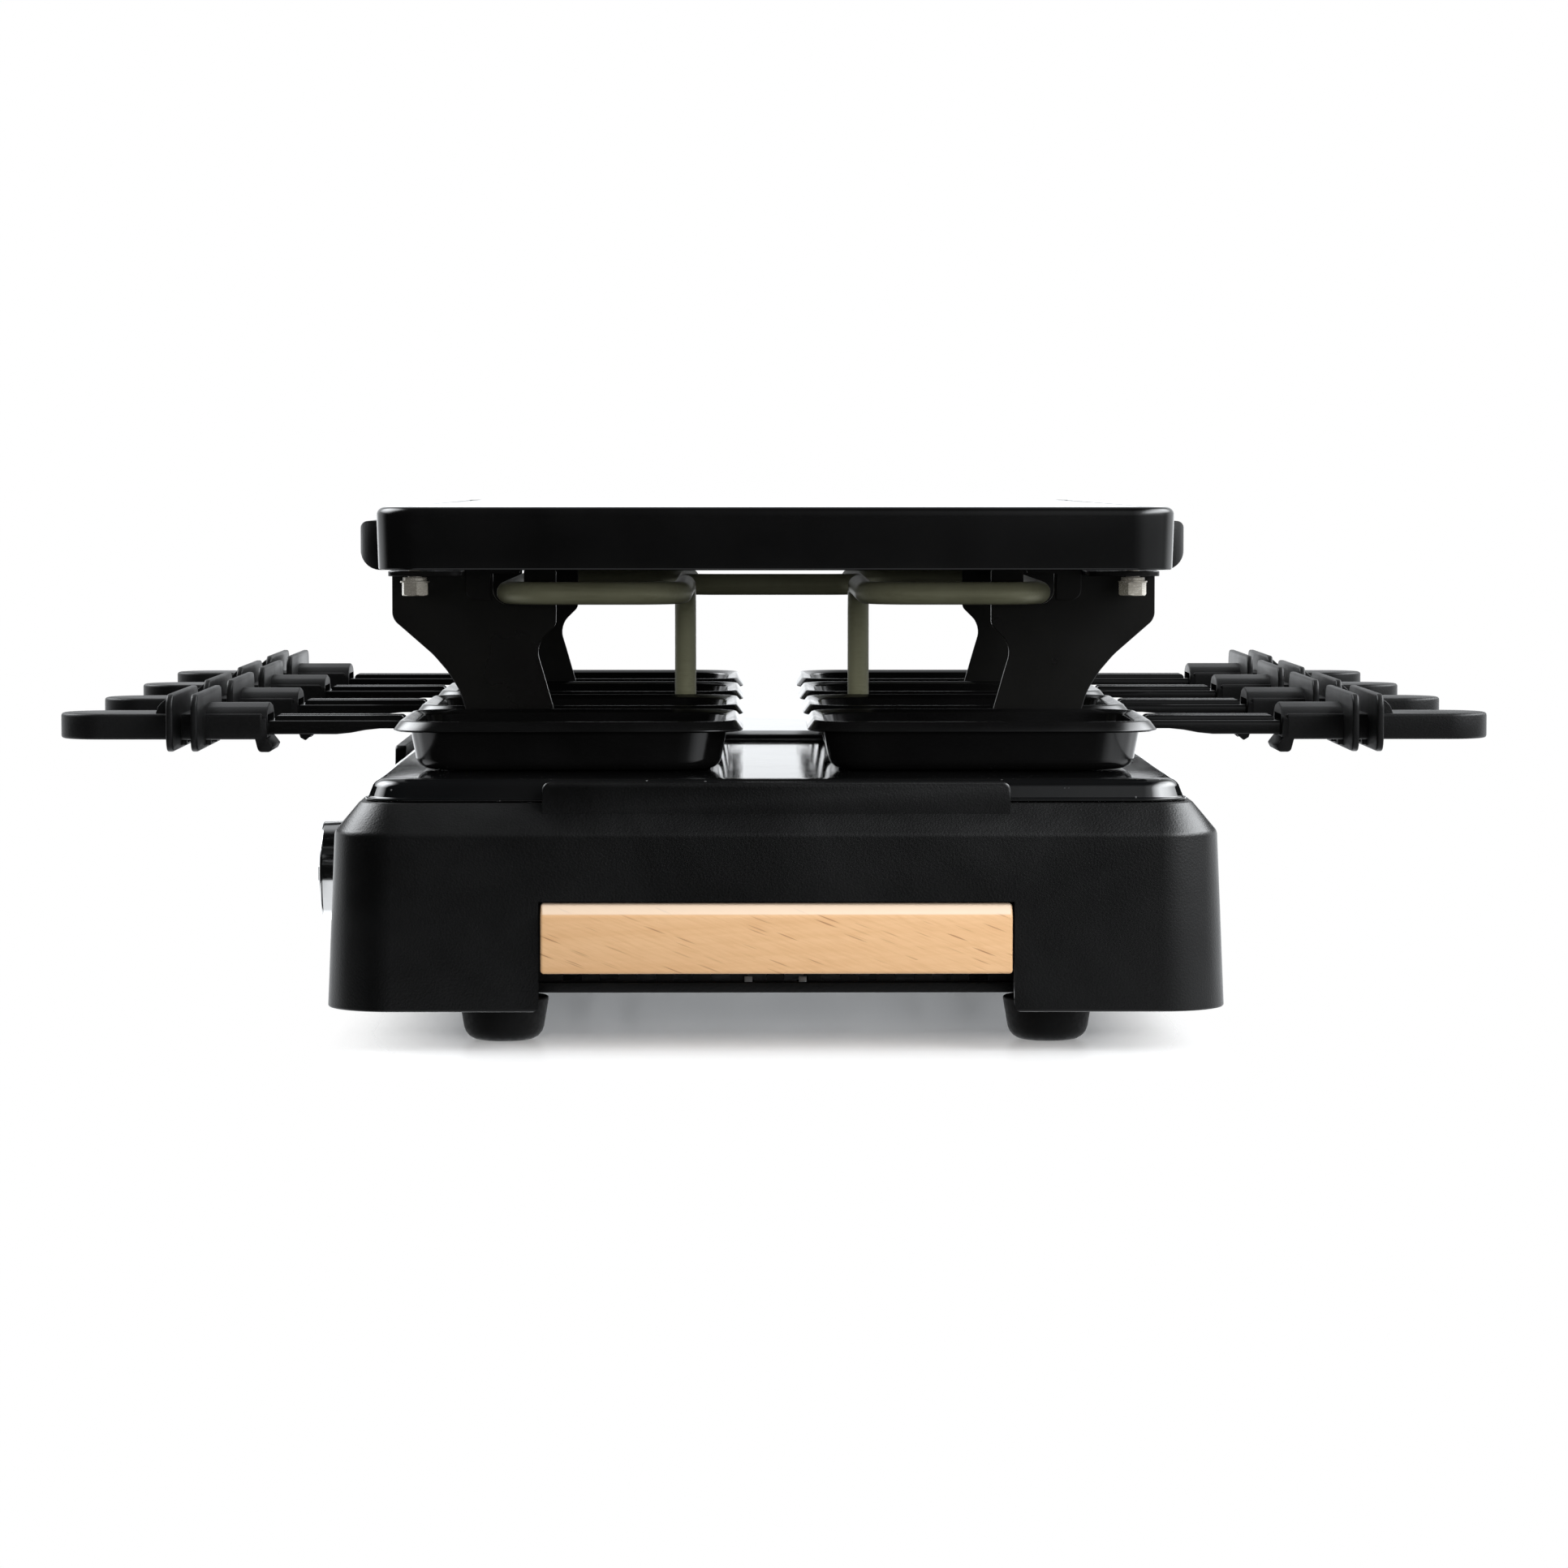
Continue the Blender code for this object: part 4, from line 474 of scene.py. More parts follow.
def swept(corners, half_x, half_y, corner, steps=10, hollow=True, round_steps=4):
    """An (inset, z, radius) section carried round a rectangle with round corners.

    A hollow ring keeps its section closed. Otherwise the section is open at its deepest inset,
    and the two loops left there are filled.
    """
    bm = bmesh.new()
    points = section(corners, round_steps)
    verts = [bm.verts.new((half_x - inset, corner - half_y, z)) for inset, z in points]
    pairs = list(zip(verts, verts[1:] + verts[:1]))
    if not hollow:
        deepest = half_x - max(inset for inset, _ in points)
        pairs = [pair for pair in pairs if max(vert.co.x for vert in pair) > deepest + 0.001]
    edges = [bm.edges.new(pair) for pair in pairs]
    straight = (2 * (half_y - corner), 2 * (half_x - corner))
    heading = Vector((0, 1, 0))
    centre = Vector((half_x - corner, half_y - corner, 0))
    for turn in range(4):
        verts, edges = stretch(bm, edges, heading * straight[turn % 2])
        verts, edges = bend(bm, verts, edges, centre, AXES["Z"], math.pi / 2, steps)
        heading = Vector((-heading.y, heading.x, 0))
        centre = Vector((-centre.x, centre.y, 0) if turn % 2 == 0 else (centre.x, -centre.y, 0))
    bmesh.ops.remove_doubles(bm, verts=bm.verts, dist=MERGE)
    if not hollow:
        bmesh.ops.holes_fill(bm, edges=bm.edges[:], sides=0)
    return settled(bm)


def lathe(corners, steps=48, round_steps=4):
    """A (radius, z, rounding) section spun about Z; it may touch the axis."""
    bm = bmesh.new()
    points = section(corners, round_steps)
    verts = [bm.verts.new((radius, 0, z)) for radius, z in points]
    pairs = [pair for pair in zip(verts, verts[1:] + verts[:1]) if max(vert.co.x for vert in pair) > 0.001]
    edges = [bm.edges.new(pair) for pair in pairs]
    bmesh.ops.spin(bm, geom=verts + edges, cent=(0, 0, 0), axis=AXES["Z"], angle=math.tau, steps=steps,
                   use_merge=True, use_duplicate=False)
    return settled(bm)


def block(low, high, edge=0.0, segments=3):
    """A block between two corners, with its edges rounded where a width is given."""
    bm = bmesh.new()
    low, high = Vector(low), Vector(high)
    size = Matrix.Diagonal((*(high - low), 1))
    bmesh.ops.create_cube(bm, size=1, matrix=Matrix.Translation((low + high) / 2) @ size)
    if edge:
        bevel(bm, bm.edges[:], edge, segments)
    return settled(bm)


def bevel(bm, edges, width, segments):
    bmesh.ops.bevel(bm, geom=edges, offset=width, offset_type="OFFSET", segments=segments, profile=0.5,
                    affect="EDGES", clamp_overlap=True, material=-1)


def between(bm, test):
    """The edges both of whose ends pass a test of place."""
    return [edge for edge in bm.edges if all(test(vert.co) for vert in edge.verts)]


def soften(bm, width, segments=2, where=lambda co: True, angle=math.radians(40)):
    """Round the sharp edges of a shape, or those of them whose ends pass a test of place."""
    edges = [edge for edge in between(bm, where)
             if len(edge.link_faces) == 2 and edge.calc_face_angle() > angle]
    if edges:
        bevel(bm, edges, width, segments)
    return settled(bm)


def pipe(corners, bends, radius, sides, steps):
    """A round tube along a bent route, with closed ends."""
    corners = [Vector(corner) for corner in corners]
    heading = (corners[1] - corners[0]).normalized()
    bm = bmesh.new()
    matrix = Matrix.Translation(corners[0]) @ heading.to_track_quat("Z", "Y").to_matrix().to_4x4()
    verts = bmesh.ops.create_circle(bm, cap_ends=False, segments=sides, radius=radius, matrix=matrix)["verts"]
    edges = bm.edges[:]
    here = corners[0]
    for corner, after, reach in zip(corners[1:], corners[2:], bends):
        ahead = (after - corner).normalized()
        turn = heading.angle(ahead)
        stop = corner - heading * reach * math.tan(turn / 2)
        verts, edges = stretch(bm, edges, stop - here)
        axis = heading.cross(ahead).normalized()
        verts, edges = bend(bm, verts, edges, stop + axis.cross(heading) * reach, axis, turn, steps)
        here = corner + ahead * reach * math.tan(turn / 2)
        heading = ahead
    stretch(bm, edges, corners[-1] - here)
    bmesh.ops.holes_fill(bm, edges=bm.edges[:], sides=0)
    return settled(bm)


def moved(bm, x=0.0, y=0.0, z=0.0):
    bmesh.ops.translate(bm, verts=bm.verts, vec=(x, y, z))
    return bm


def rotated(bm, degrees, axis):
    turn = Matrix.Rotation(math.radians(degrees), 3, axis)
    bmesh.ops.rotate(bm, verts=bm.verts, cent=(0, 0, 0), matrix=turn)
    return bm


def flipped(bm, side, end):
    """A copy of a shape made for +X and +Y, taken to another quarter of the grill."""
    copy = bm.copy()
    bmesh.ops.scale(copy, verts=copy.verts, vec=(side, end, 1))
    return settled(copy)


def gathered(*shapes):
    """Several shapes in one mesh."""
    whole = bmesh.new()
    for shape in shapes:
        mesh = bpy.data.meshes.new("shape")
        shape.to_mesh(mesh)
        whole.from_mesh(mesh)
        bpy.data.meshes.remove(mesh)
    return whole


def combined(first, second, operation):
    """The exact Boolean of two closed shapes."""
    holders = []
    for bm in (first, second):
        mesh = bpy.data.meshes.new("shape")
        bm.to_mesh(mesh)
        bm.free()
        holder = bpy.data.objects.new("shape", mesh)
        bpy.context.scene.collection.objects.link(holder)
        holders.append(holder)
    modifier = holders[0].modifiers.new("cut", "BOOLEAN")
    modifier.solver = "EXACT"
    modifier.operation = operation
    modifier.object = holders[1]
    graph = bpy.context.evaluated_depsgraph_get()
    result = bpy.data.meshes.new_from_object(holders[0].evaluated_get(graph))
    bm = bmesh.new()
    bm.from_mesh(result)
    bpy.data.meshes.remove(result)
    for holder in holders:
        mesh = holder.data
        bpy.data.objects.remove(holder)
        bpy.data.meshes.remove(mesh)
    bmesh.ops.remove_doubles(bm, verts=bm.verts, dist=0.001)
    return bm


def cut(body, *tools):
    return combined(body, gathered(*tools), "DIFFERENCE")


def fused(body, *others):
    for other in others:
        body = combined(body, other, "UNION")
    return body


def place(name, bm, finish, body, stands_for=None):
    """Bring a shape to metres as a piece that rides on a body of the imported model."""
    bmesh.ops.scale(bm, verts=bm.verts, vec=(MM, MM, MM))
    mesh = bpy.data.meshes.new(name)
    bm.to_mesh(mesh)
    bm.free()
    mesh.shade_smooth()
    mesh.set_sharp_from_angle(angle=EDGE_ANGLE)
    mesh.materials.append(FINISHES[finish])
    piece = bpy.data.objects.new(name, mesh)
    bpy.context.scene.collection.objects.link(piece)
    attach(piece, body)
    if stands_for:
        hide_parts(stands_for)


def rod(radius, low, high, steps=24):
    return lathe([(0, low, 0), (radius, low, 0), (radius, high, 0), (0, high, 0)], steps)


# Base: housing, cover, feet and bars

def raised_tab(half, back):
    """The tab beside the deck, with round upper corners and softened front edges."""
    foot, top, thickness = 60, RIM + 5.6, 3.3
    tab = prism([(-half, foot, 0), (half, foot, 0), (half, top, 2.0), (-half, top, 2.0)], "Y",
                back, back + thickness, 5)
    return soften(tab, 0.6, 3, lambda co: co.z > foot + 0.5)


def pocket(end):
    """Block, room, lip and air slots of the finger pocket at one end."""
    outer, wide, draft = POCKET_HALF + 4.5, 69, 1.036
    mass = block((-outer, POCKET_BACK - 2.5, 13.3), (outer, HOUSING_Y - 3.0, POCKET_TOP + 2.5))
    low = HOUSING_LOW - 0.05
    room = prism([(-wide, 5, 0), (wide, 5, 0), (wide, low, 0), (POCKET_HALF, low, 1.9),
                  (POCKET_HALF, POCKET_TOP, 0), (-POCKET_HALF, POCKET_TOP, 0), (-POCKET_HALF, low, 1.9),
                  (-wide, low, 0)], "Y", POCKET_BACK, HOUSING_Y + 5)
    for vert in room.verts:
        if vert.co.y < HOUSING_Y and abs(vert.co.x) < 65:
            vert.co.x *= draft
    lip = prism([(189.0, 13.4, 0), (190.35, 13.4, 0), (190.35, 11.0, 0), (191.2, 11.0, 0.2),
                 (191.2, 13.9, 0.2), (189.0, 13.9, 0)], "X", -66.2, 66.2)
    slots = []
    for index in range(12):
        x = (index - 5.5) * 10.07
        slots.append(block((x - 2.6, POCKET_BACK - 6, 14.3), (x + 2.6, POCKET_BACK + 3, 34.0)))
    mass, room, lip, *slots = (flipped(shape, 1, end) for shape in (mass, room, lip, *slots))
    return mass, room, lip, slots


def make_housing():
    """Moulded shell with a finger pocket and a tab at each end, and a tab over the knob."""
    shell = swept([(0, HOUSING_LOW, 0.6), (HOUSING_LEAN, SHOULDER, 2.2), (8.75, RIM, 0.8),
                   (14.75, RIM, 0.4), (14.75, 62.4, 0), (4.5, 55.75, 0), (3.5, 13.3, 0), (2.5, 13.3, 0),
                   (2.5, HOUSING_LOW, 0.5)], HOUSING_X, HOUSING_Y, HOUSING_CORNER, 12)
    for end in (-1, 1):
        mass, room, lip, slots = pocket(end)
        shell = fused(shell, mass, flipped(raised_tab(62.0, DECK_Y + 0.3), 1, end))
        shell = cut(shell, room)
        shell = fused(cut(shell, *slots), lip)
        shell = cut(shell, *[flipped(block((x - 1.5, 188, 10.0), (x + 1.5, 190.85, 15.7)), 1, end)
                             for x in (-COVER_TAB_X, COVER_TAB_X)])
    shell = fused(shell, rotated(raised_tab(40.0, DECK_X + 0.3), 90, "Z"))
    holes = [moved(rotated(rod(radius, 112, 124, 32), -90, "Y"), 0, y, z)
             for radius, y, z in ((5.0, 0, KNOB_Z), (3.5, LAMP_Y, KNOB_Z), (6.5, GLAND_Y, GLAND_Z))]
    shell = cut(shell, *holes)

    def on_mouth(co):
        """Whether a point is on the mouth of a pocket, in the end wall or underneath."""
        x, y, z = abs(co.x), abs(co.y), co.z
        lower_corner = POCKET_HALF < x < POCKET_HALF + 2 and z < HOUSING_LOW + 2
        at_side = abs(x - POCKET_HALF) < 0.6 or lower_corner
        beneath = abs(z - HOUSING_LOW) < 0.01 or y > POCKET_BACK - 0.01 and z < HOUSING_LOW + 0.1
        return (at_side or abs(z - POCKET_TOP) <= 0.01) and (y >= HOUSING_Y - 5 or beneath)

    shell = soften(shell, 1.0, 3, on_mouth)
    place("housing_shell", shell, "moulded_black", "base", "housing")


def make_cover():
    """Galvanised sheet with square vents, and two small tabs at each pocket."""
    inset, corner = 2.8, 15.2
    sheet = prism(rounded(HOUSING_X - inset, HOUSING_Y - inset, corner), "Z", COVER_LOW, COVER_LOW + 1.0, 10)
    low, high = 10, 15
    tools = [block((-66.5, y - 23, low), (66.5, y + 23, high)) for y in (-213.3, 213.3)]
    vent, pitch = 2.5, 16
    for side, end in QUARTERS:
        tools.append(moved(rod(2.5, low, high), side * TIE_AT[0], end * TIE_AT[1]))
        tools.append(moved(rod(3.5, low, high), side * FOOT_AT[0], end * FOOT_AT[1]))
        for row in range(2):
            for column in range(4):
                x = side * 50 + (row - 0.5) * pitch
                y = end * (60 + (column - 1.5) * pitch)
                tools.append(block((x - vent, y - vent, low), (x + vent, y + vent, high)))
    sheet = soften(cut(sheet, *tools), 0.12, 1)
    tabs = [flipped(block((x - 1.1, POCKET_BACK + 0.05, 12.3), (x + 1.1, POCKET_BACK + 0.75, 15.5),
                          0.15, 2), 1, end)
            for x in (-COVER_TAB_X, COVER_TAB_X) for end in (-1, 1)]
    place("cover_sheet", gathered(sheet, *tabs), "galvanised", "base", "bottom_cover")


def make_feet():
    """Tapered pads with a barbed stem through the cover."""
    foot = lathe([(0, 0, 0), (10.2, 0, 4.2), (12.2, 11.7, 0.7), (3.0, 11.7, 0), (3.0, 13.3, 0),
                  (4.2, 13.3, 0.3), (3.0, 16.7, 0.4), (0, 16.7, 0)])
    moved(foot, *FOOT_AT)
    for number, (side, end) in enumerate(QUARTERS, 1):
        place(f"foot_pad_{number}", flipped(foot, side, end), "rubber_black", "base", f"foot_{number}")


def make_bars():
    """Beech bars with a flat bevel along the upper outer edge."""
    half, outer, top = 62.3, 236, 38.8
    for which, end in (("front", -1), ("rear", 1)):
        bar = block((-half, 214, 20.4), (half, outer, top))
        bevel(bar, between(bar, lambda co: co.y > outer - 0.1 and co.z > top - 0.1), 3.0, 1)
        bevel(bar, between(bar, lambda co: abs(co.x) > half - 0.1), 0.7, 2)
        soften(bar, 0.35, 2, angle=math.radians(30))
        place(f"beech_bar_{which}", flipped(bar, 1, end), "beech", "base", f"wood_handle_{which}")


# Deck and its fittings

def make_deck():
    """Enamelled sheet with a rolled skirt and holes for the element's legs."""
    tray = swept([(11.5, DECK_TOP, 0), (2.7, DECK_TOP, 3.6), (0.7, 66.2, 0.4), (0, 66.0, 0.25),
                  (0, 65.3, 0.25), (1.4, 65.3, 0.2), (3.5, 70.0, 2.8), (11.5, 70.0, 0)],
                 DECK_X, DECK_Y, DECK_CORNER, 14, hollow=False, round_steps=7)
    tray = cut(tray, *[moved(rod(LEG_BORE, 60, 75), x, LEG_Y) for x in (-LEG_X, LEG_X)])
    place("deck_skin", tray, "enamel_black", "base", "deck_tray")


def make_leg_plate():
    """Low pressed plate round the element's legs, with a collar round each leg."""
    sheet = prism(rounded(40, 14, 4), "Z", 71.3, 72.5, 6)
    ring = [(LEG_BORE, 72.4, 0), (6.0, 72.4, 0), (5.2, 74.0, 0.5), (LEG_BORE, 74.0, 0.3)]
    collars = [moved(lathe(ring, 40), x, LEG_Y) for x in (-LEG_X, LEG_X)]
    soften(sheet, 0.35, 2)
    sheet = cut(sheet, *[moved(rod(LEG_BORE, 70, 75), x, LEG_Y) for x in (-LEG_X, LEG_X)])
    place("leg_plate_sheet", gathered(sheet, *collars), "painted_black", "base", "leg_plate")


def pan_head(radius, height):
    """Domed screw head with a cross slot, standing on z = 0."""
    head = lathe([(0, -0.2, 0), (radius, -0.2, 0), (radius, height, height * 0.9), (0, height, 0)], 32)
    reach, slot, floor = radius * 0.62, 0.32, height * 0.35
    for half_x, half_y in ((reach, slot), (slot, reach)):
        head = cut(head, block((-half_x, -half_y, floor), (half_x, half_y, height + 1)))
    return head


# Brackets, clips, bolts and element

def make_brackets():
    """Sheet brackets with a folded flange and foot, and a clip that shuts each element notch."""
    near, far = 99.25, 100.75
    outline = [(60, 71.3, 0.6), (88, 71.3, 0.6), (88.9, 84.1, 9), (90.6, 89.6, 14), (94.0, 95.1, 20),
               (98.2, 100.0, 20), (105.4, 106.3, 14), (110, 110.3, 4.0), (110, 124.5, 0.8),
               (80.95, 124.5, 0.5), (80.95, 114.5, 4.4), (72.05, 114.5, 4.4), (72.05, 124.5, 0.5),
               (62.75, 124.5, 0.8), (62.75, 108.6, 2.6), (68.8, 102.6, 7), (66.5, 95.0, 14),
               (63.4, 84.1, 12)]
    plate = soften(prism(outline, "Y", near, far, 6), 0.18, 1)
    flange = prism([(89, 99.5, 0), (109.95, 99.5, 0), (109.95, 122, 3.5), (89, 122, 3.5)], "Z",
                   123.0, 124.45, 5)
    foot = prism([(60.05, 91, 2.5), (87.95, 91, 2.5), (87.95, 100.7, 0), (60.05, 100.7, 0)], "Z",
                 71.35, 72.8)
    welds = [moved(lathe([(0, 72.5, 0), (2.3, 72.5, 0), (1.9, 73.1, 0.3), (0, 73.0, 0)], 20), x, 94.6)
             for x in (66, 81)]
    body = fused(plate, soften(flange, 0.18, 1), soften(foot, 0.18, 1))
    body = gathered(cut(body, moved(rod(2.5, 120, 126), *BOLT_AT)), *welds)
    clip = prism([(81.5, 115.8, 0.4), (88.7, 115.8, 3.0), (88.7, 125.0, 0.5), (73.0, 125.0, 0.7),
                  (73.0, 123.4, 0.7), (81.5, 123.4, 0.3)], "Y", 101.05, 102.05, 5)
    soften(clip, 0.15, 1)
    for number, (side, end) in enumerate(QUARTERS, 1):
        for name, shape, node in (("bracket_sheet", body, "bracket"), ("clip_sheet", clip, "element_clip")):
            place(f"{name}_{number}", flipped(shape, side, end), "painted_black", "base", f"{node}_{number}")


def hex_bolt():
    """Hex head with chamfered corners, flat and split washers and plain pin, from the flange's top."""
    head = prism(hexagon(4.04, 0.3, 30), "Z", -7.1, -3.4)
    crown = lathe([(0, -7.1, 0), (3.5, -7.1, 0), (4.3, -6.5, 0), (4.3, -3.1, 0), (0, -3.1, 0)])
    head = combined(head, crown, "INTERSECT")
    flat = lathe([(2.0, -3.4, 0), (4.2, -3.4, 0.1), (4.2, -2.9, 0.1), (2.0, -2.9, 0)])
    spring = lathe([(2.1, -3.0, 0), (3.4, -3.0, 0.15), (3.4, -1.8, 0.15), (2.1, -1.8, 0)])
    spring = cut(spring, rotated(block((1.5, -0.35, -5), (5, 0.35, 0)), 24, "Z"))
    shank = lathe([(0, -4, 0), (2.0, -4, 0), (2.0, 8.5, 0.6), (0, 8.5, 0)], 32)
    return head, flat, spring, shank


def make_bolts():
    head, *rest = hex_bolt()
    for number, (side, end) in enumerate(QUARTERS, 1):
        bolt = gathered(rotated(head.copy(), 11 * number, "Z"), *rest)
        bolt = flipped(moved(bolt, *BOLT_AT, BRACKET_TOP), side, end)
        place(f"hex_bolt_{number}", bolt, "zinc", "base", f"plate_bolt_{number}")


def make_element():
    """One tube: left leg, left loop, crossing at mid-length, right loop, right leg."""
    left = [(-LEG_X, LEG_Y, 51), (-LEG_X, LEG_Y, TUBE_Z), (-LEG_X, -LOOP_Y, TUBE_Z),
            (-LOOP_X, -LOOP_Y, TUBE_Z), (-LOOP_X, LOOP_Y, TUBE_Z), (-LEG_X, LOOP_Y, TUBE_Z),
            (-LEG_X, 5, TUBE_Z)]
    right = [(-x, y, z) for x, y, z in reversed(left)]
    bends = [9, 14, 14, 14, 14, 9]
    tube = pipe(left + right, bends + bends, 3.25, 28, 10)
    place("element_tube", tube, "element_olive", "base", "heating_element")


# Knob side

def facing_left(bm, y, z):
    """Take a shape made along Z to the -X side, its height measured outwards from the middle."""
    return moved(rotated(bm, -90, "Y"), y=y, z=z)


def make_knob():
    """Bright knob: plain round body, dished face and a grip bar level with its rim."""
    low = 119.9
    body = lathe([(0, 134.2, 0), (12.2, 134.2, 1.2), (13.0, 138.5, 0.6), (15.2, 138.5, 1.3),
                  (15.6, low, 0.4), (9.3, low, 0.3), (9.3, 124.4, 0), (3.3, 124.4, 0), (3.3, 133.0, 0),
                  (0, 133.0, 0)], 96, 6)
    top = 138.9
    bar = prism(rounded(2.6, 13.4, 0.8), "Z", 133.8, top, 6)
    soften(bar, 0.6, 3, lambda co: co.z > top - 0.1)
    knob = cut(fused(body, bar), block((-0.5, 6.0, 138.2), (0.5, 11.4, 141)))
    place("knob_shell", facing_left(knob, 0, KNOB_Z), "chrome", "dial", "knob")
    marks = []
    for step in range(11):
        tick = block((-0.3, 16.8, 118.2), (0.3, 18.9 if step % 5 == 0 else 18.2, 119.1), 0.12, 2)
        marks.append(rotated(tick, -27 * step, "Z"))
    marks = facing_left(gathered(*marks), 0, KNOB_Z)
    lean = HOUSING_LEAN / (SHOULDER - HOUSING_LOW)
    for vert in marks.verts:
        vert.co.x += lean * (vert.co.z - KNOB_Z)
    place("dial_ticks", marks, "ceramic", "base")


def make_side_fittings():
    """Domed lamp lens and the collared inlet for the cord."""
    lens = lathe([(0, 104.6, 0), (3.0, 104.6, 0.3), (3.0, 119.2, 0), (4.0, 119.2, 0.2), (4.0, 120.6, 1.0),
                  (0, 120.6, 0)], 40, 5)
    place("lamp_dome", facing_left(lens, LAMP_Y, KNOB_Z), "lens_amber", "base", "pilot_lamp")
    gland = lathe([(3.8, 105.0, 0.3), (6.0, 105.0, 0.3), (6.0, 119.6, 0), (8.0, 119.6, 0.2),
                   (8.0, 121.6, 0.9), (3.8, 121.6, 0.5)])
    place("gland_ring", facing_left(gland, GLAND_Y, GLAND_Z), "rubber_black", "base", "cord_gland")


def make_inner_parts():
    """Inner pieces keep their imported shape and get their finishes; tie bolts get cross slots."""
    kept = {
        "phenolic": ("thermostat_body",),
        "zinc": ("thermostat_nut", "thermostat_shaft", "grip_screw_left", "grip_screw_right"),
        "ceramic": ("terminal_block",),
        "lead_sleeve": ("lead_supply", "lead_heater", "lead_neutral"),
        "brass": ("element_terminal_1", "element_terminal_2"),
    }
    for finish, names in kept.items():
        for name in names:
            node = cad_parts[name]
            node.data.materials.clear()
            node.data.materials.append(FINISHES[finish])
    head = moved(rotated(pan_head(3.8, 1.6), 180, "X"), z=11.7)
    bolt = gathered(head, rod(2.0, 11.6, 66.1), prism(hexagon(4.6, 0, 0), "Z", 66.1, 69.7))
    moved(bolt, *TIE_AT)
    for number, (side, end) in enumerate(QUARTERS, 1):
        place(f"tie_screw_{number}", flipped(bolt, side, end), "zinc", "base", f"tie_bolt_{number}")


# Cooking plate

def make_plate():
    """Cast plate with a smooth half and a ribbed half inside a drain groove, on hollow pads."""
    shell = swept([(11.2, PLATE_TOP, 0), (9.0, PLATE_TOP, 0.3), (8.2, 141.6, 0.4), (5.8, 141.6, 0.4),
                   (5.0, PLATE_TOP, 0.3), (0, PLATE_TOP, 3.6), (0.6, PLATE_LOW, 0.6), (5.0, PLATE_LOW, 0.5),
                   (5.2, 136.6, 1.5), (11.2, 136.6, 0)],
                  PLATE_X, PLATE_Y, PLATE_CORNER, 14, hollow=False, round_steps=6)
    channels = []
    for index in range(13):
        y = 12.4 + 14.0 * index
        channels.append(prism([(y - 1.6, 141.9, 0.4), (y + 1.6, 141.9, 0.4), (y + 2.4, PLATE_TOP, 0),
                               (y + 2.4, 146, 0), (y - 2.4, 146, 0), (y - 2.4, PLATE_TOP, 0)], "X",
                              -101, 101, 3))
    shell = cut(shell, *channels)

    def at_bolts(*size):
        return [flipped(moved(rod(*size), *BOLT_AT), side, end) for side, end in QUARTERS]

    lugs = [flipped(block((105, -16, 129), (117, 16, 134)), side, 1) for side in (-1, 1)]
    shell = fused(shell, *at_bolts(4.8, 124.8, 137.0, 32), *lugs)
    shell = cut(shell, *at_bolts(2.5, 120, 135.8), *[moved(rod(2.0, 125, 136), x) for x in (-112.5, 112.5)])
    place("cast_plate", shell, "nonstick", "plate", "grill_plate")


def make_grips():
    """Grips with a domed outer face, hollow where they take the plate's lugs."""
    grip = prism([(108.3, 138.0, 0.6), (108.3, 123.3, 0.4), (124.0, 123.3, 6.5), (124.0, 138.0, 2.6)], "Y",
                 -45, 45, 7)
    plan = prism([(100, -40, 0), (124.0, -40, 7.5), (124.0, 40, 7.5), (100, 40, 0)], "Z", 120, 140, 9)
    grip = combined(grip, plan, "INTERSECT")
    soften(grip, 0.5, 2, lambda co: co.x > 108.5)
    grip = cut(grip, block((106, -16.3, 128.7), (117.3, 16.3, 134.3)))
    for which, side in (("left", -1), ("right", 1)):
        place(f"grip_{which}", flipped(grip, side, 1), "handle_black", "plate", f"plate_grip_{which}")


# Pans and handles, made about the pan's centre and underside with the handle towards +X

def drawn_bowl():
    """Pressed bowl: one outline extruded and scaled ring by ring over floor, wall and lip."""
    levels = section([(16, 1.2, 0), (7.9, 1.2, 3.0), (5.2, 12.6, 0.8), (2.2, 13.7, 0.9), (0, 10.9, 0.25),
                      (0.9, 10.5, 0.25), (4.4, 11.9, 1.0), (6.6, 0, 3.6), (16, 0, 0)], 5)
    bm = bmesh.new()
    rim = section(rounded(PAN_X, PAN_Y, PAN_CORNER), 12)
    verts = [bm.verts.new((*point, 0)) for point in rim]
    edges = [bm.edges.new(pair) for pair in zip(verts, verts[1:] + verts[:1])]
    scale_x, scale_y, height = 1.0, 1.0, 0.0
    for index, (inset, z) in enumerate(levels):
        if index:
            verts, edges = stretch(bm, edges, (0, 0, 0))
        next_x, next_y = 1 - inset / PAN_X, 1 - inset / PAN_Y
        bmesh.ops.scale(bm, verts=verts, vec=(next_x / scale_x, next_y / scale_y, 1))
        bmesh.ops.translate(bm, verts=verts, vec=(0, 0, z - height))
        scale_x, scale_y, height = next_x, next_y, z
    bmesh.ops.holes_fill(bm, edges=bm.edges[:], sides=0)
    return settled(bm)


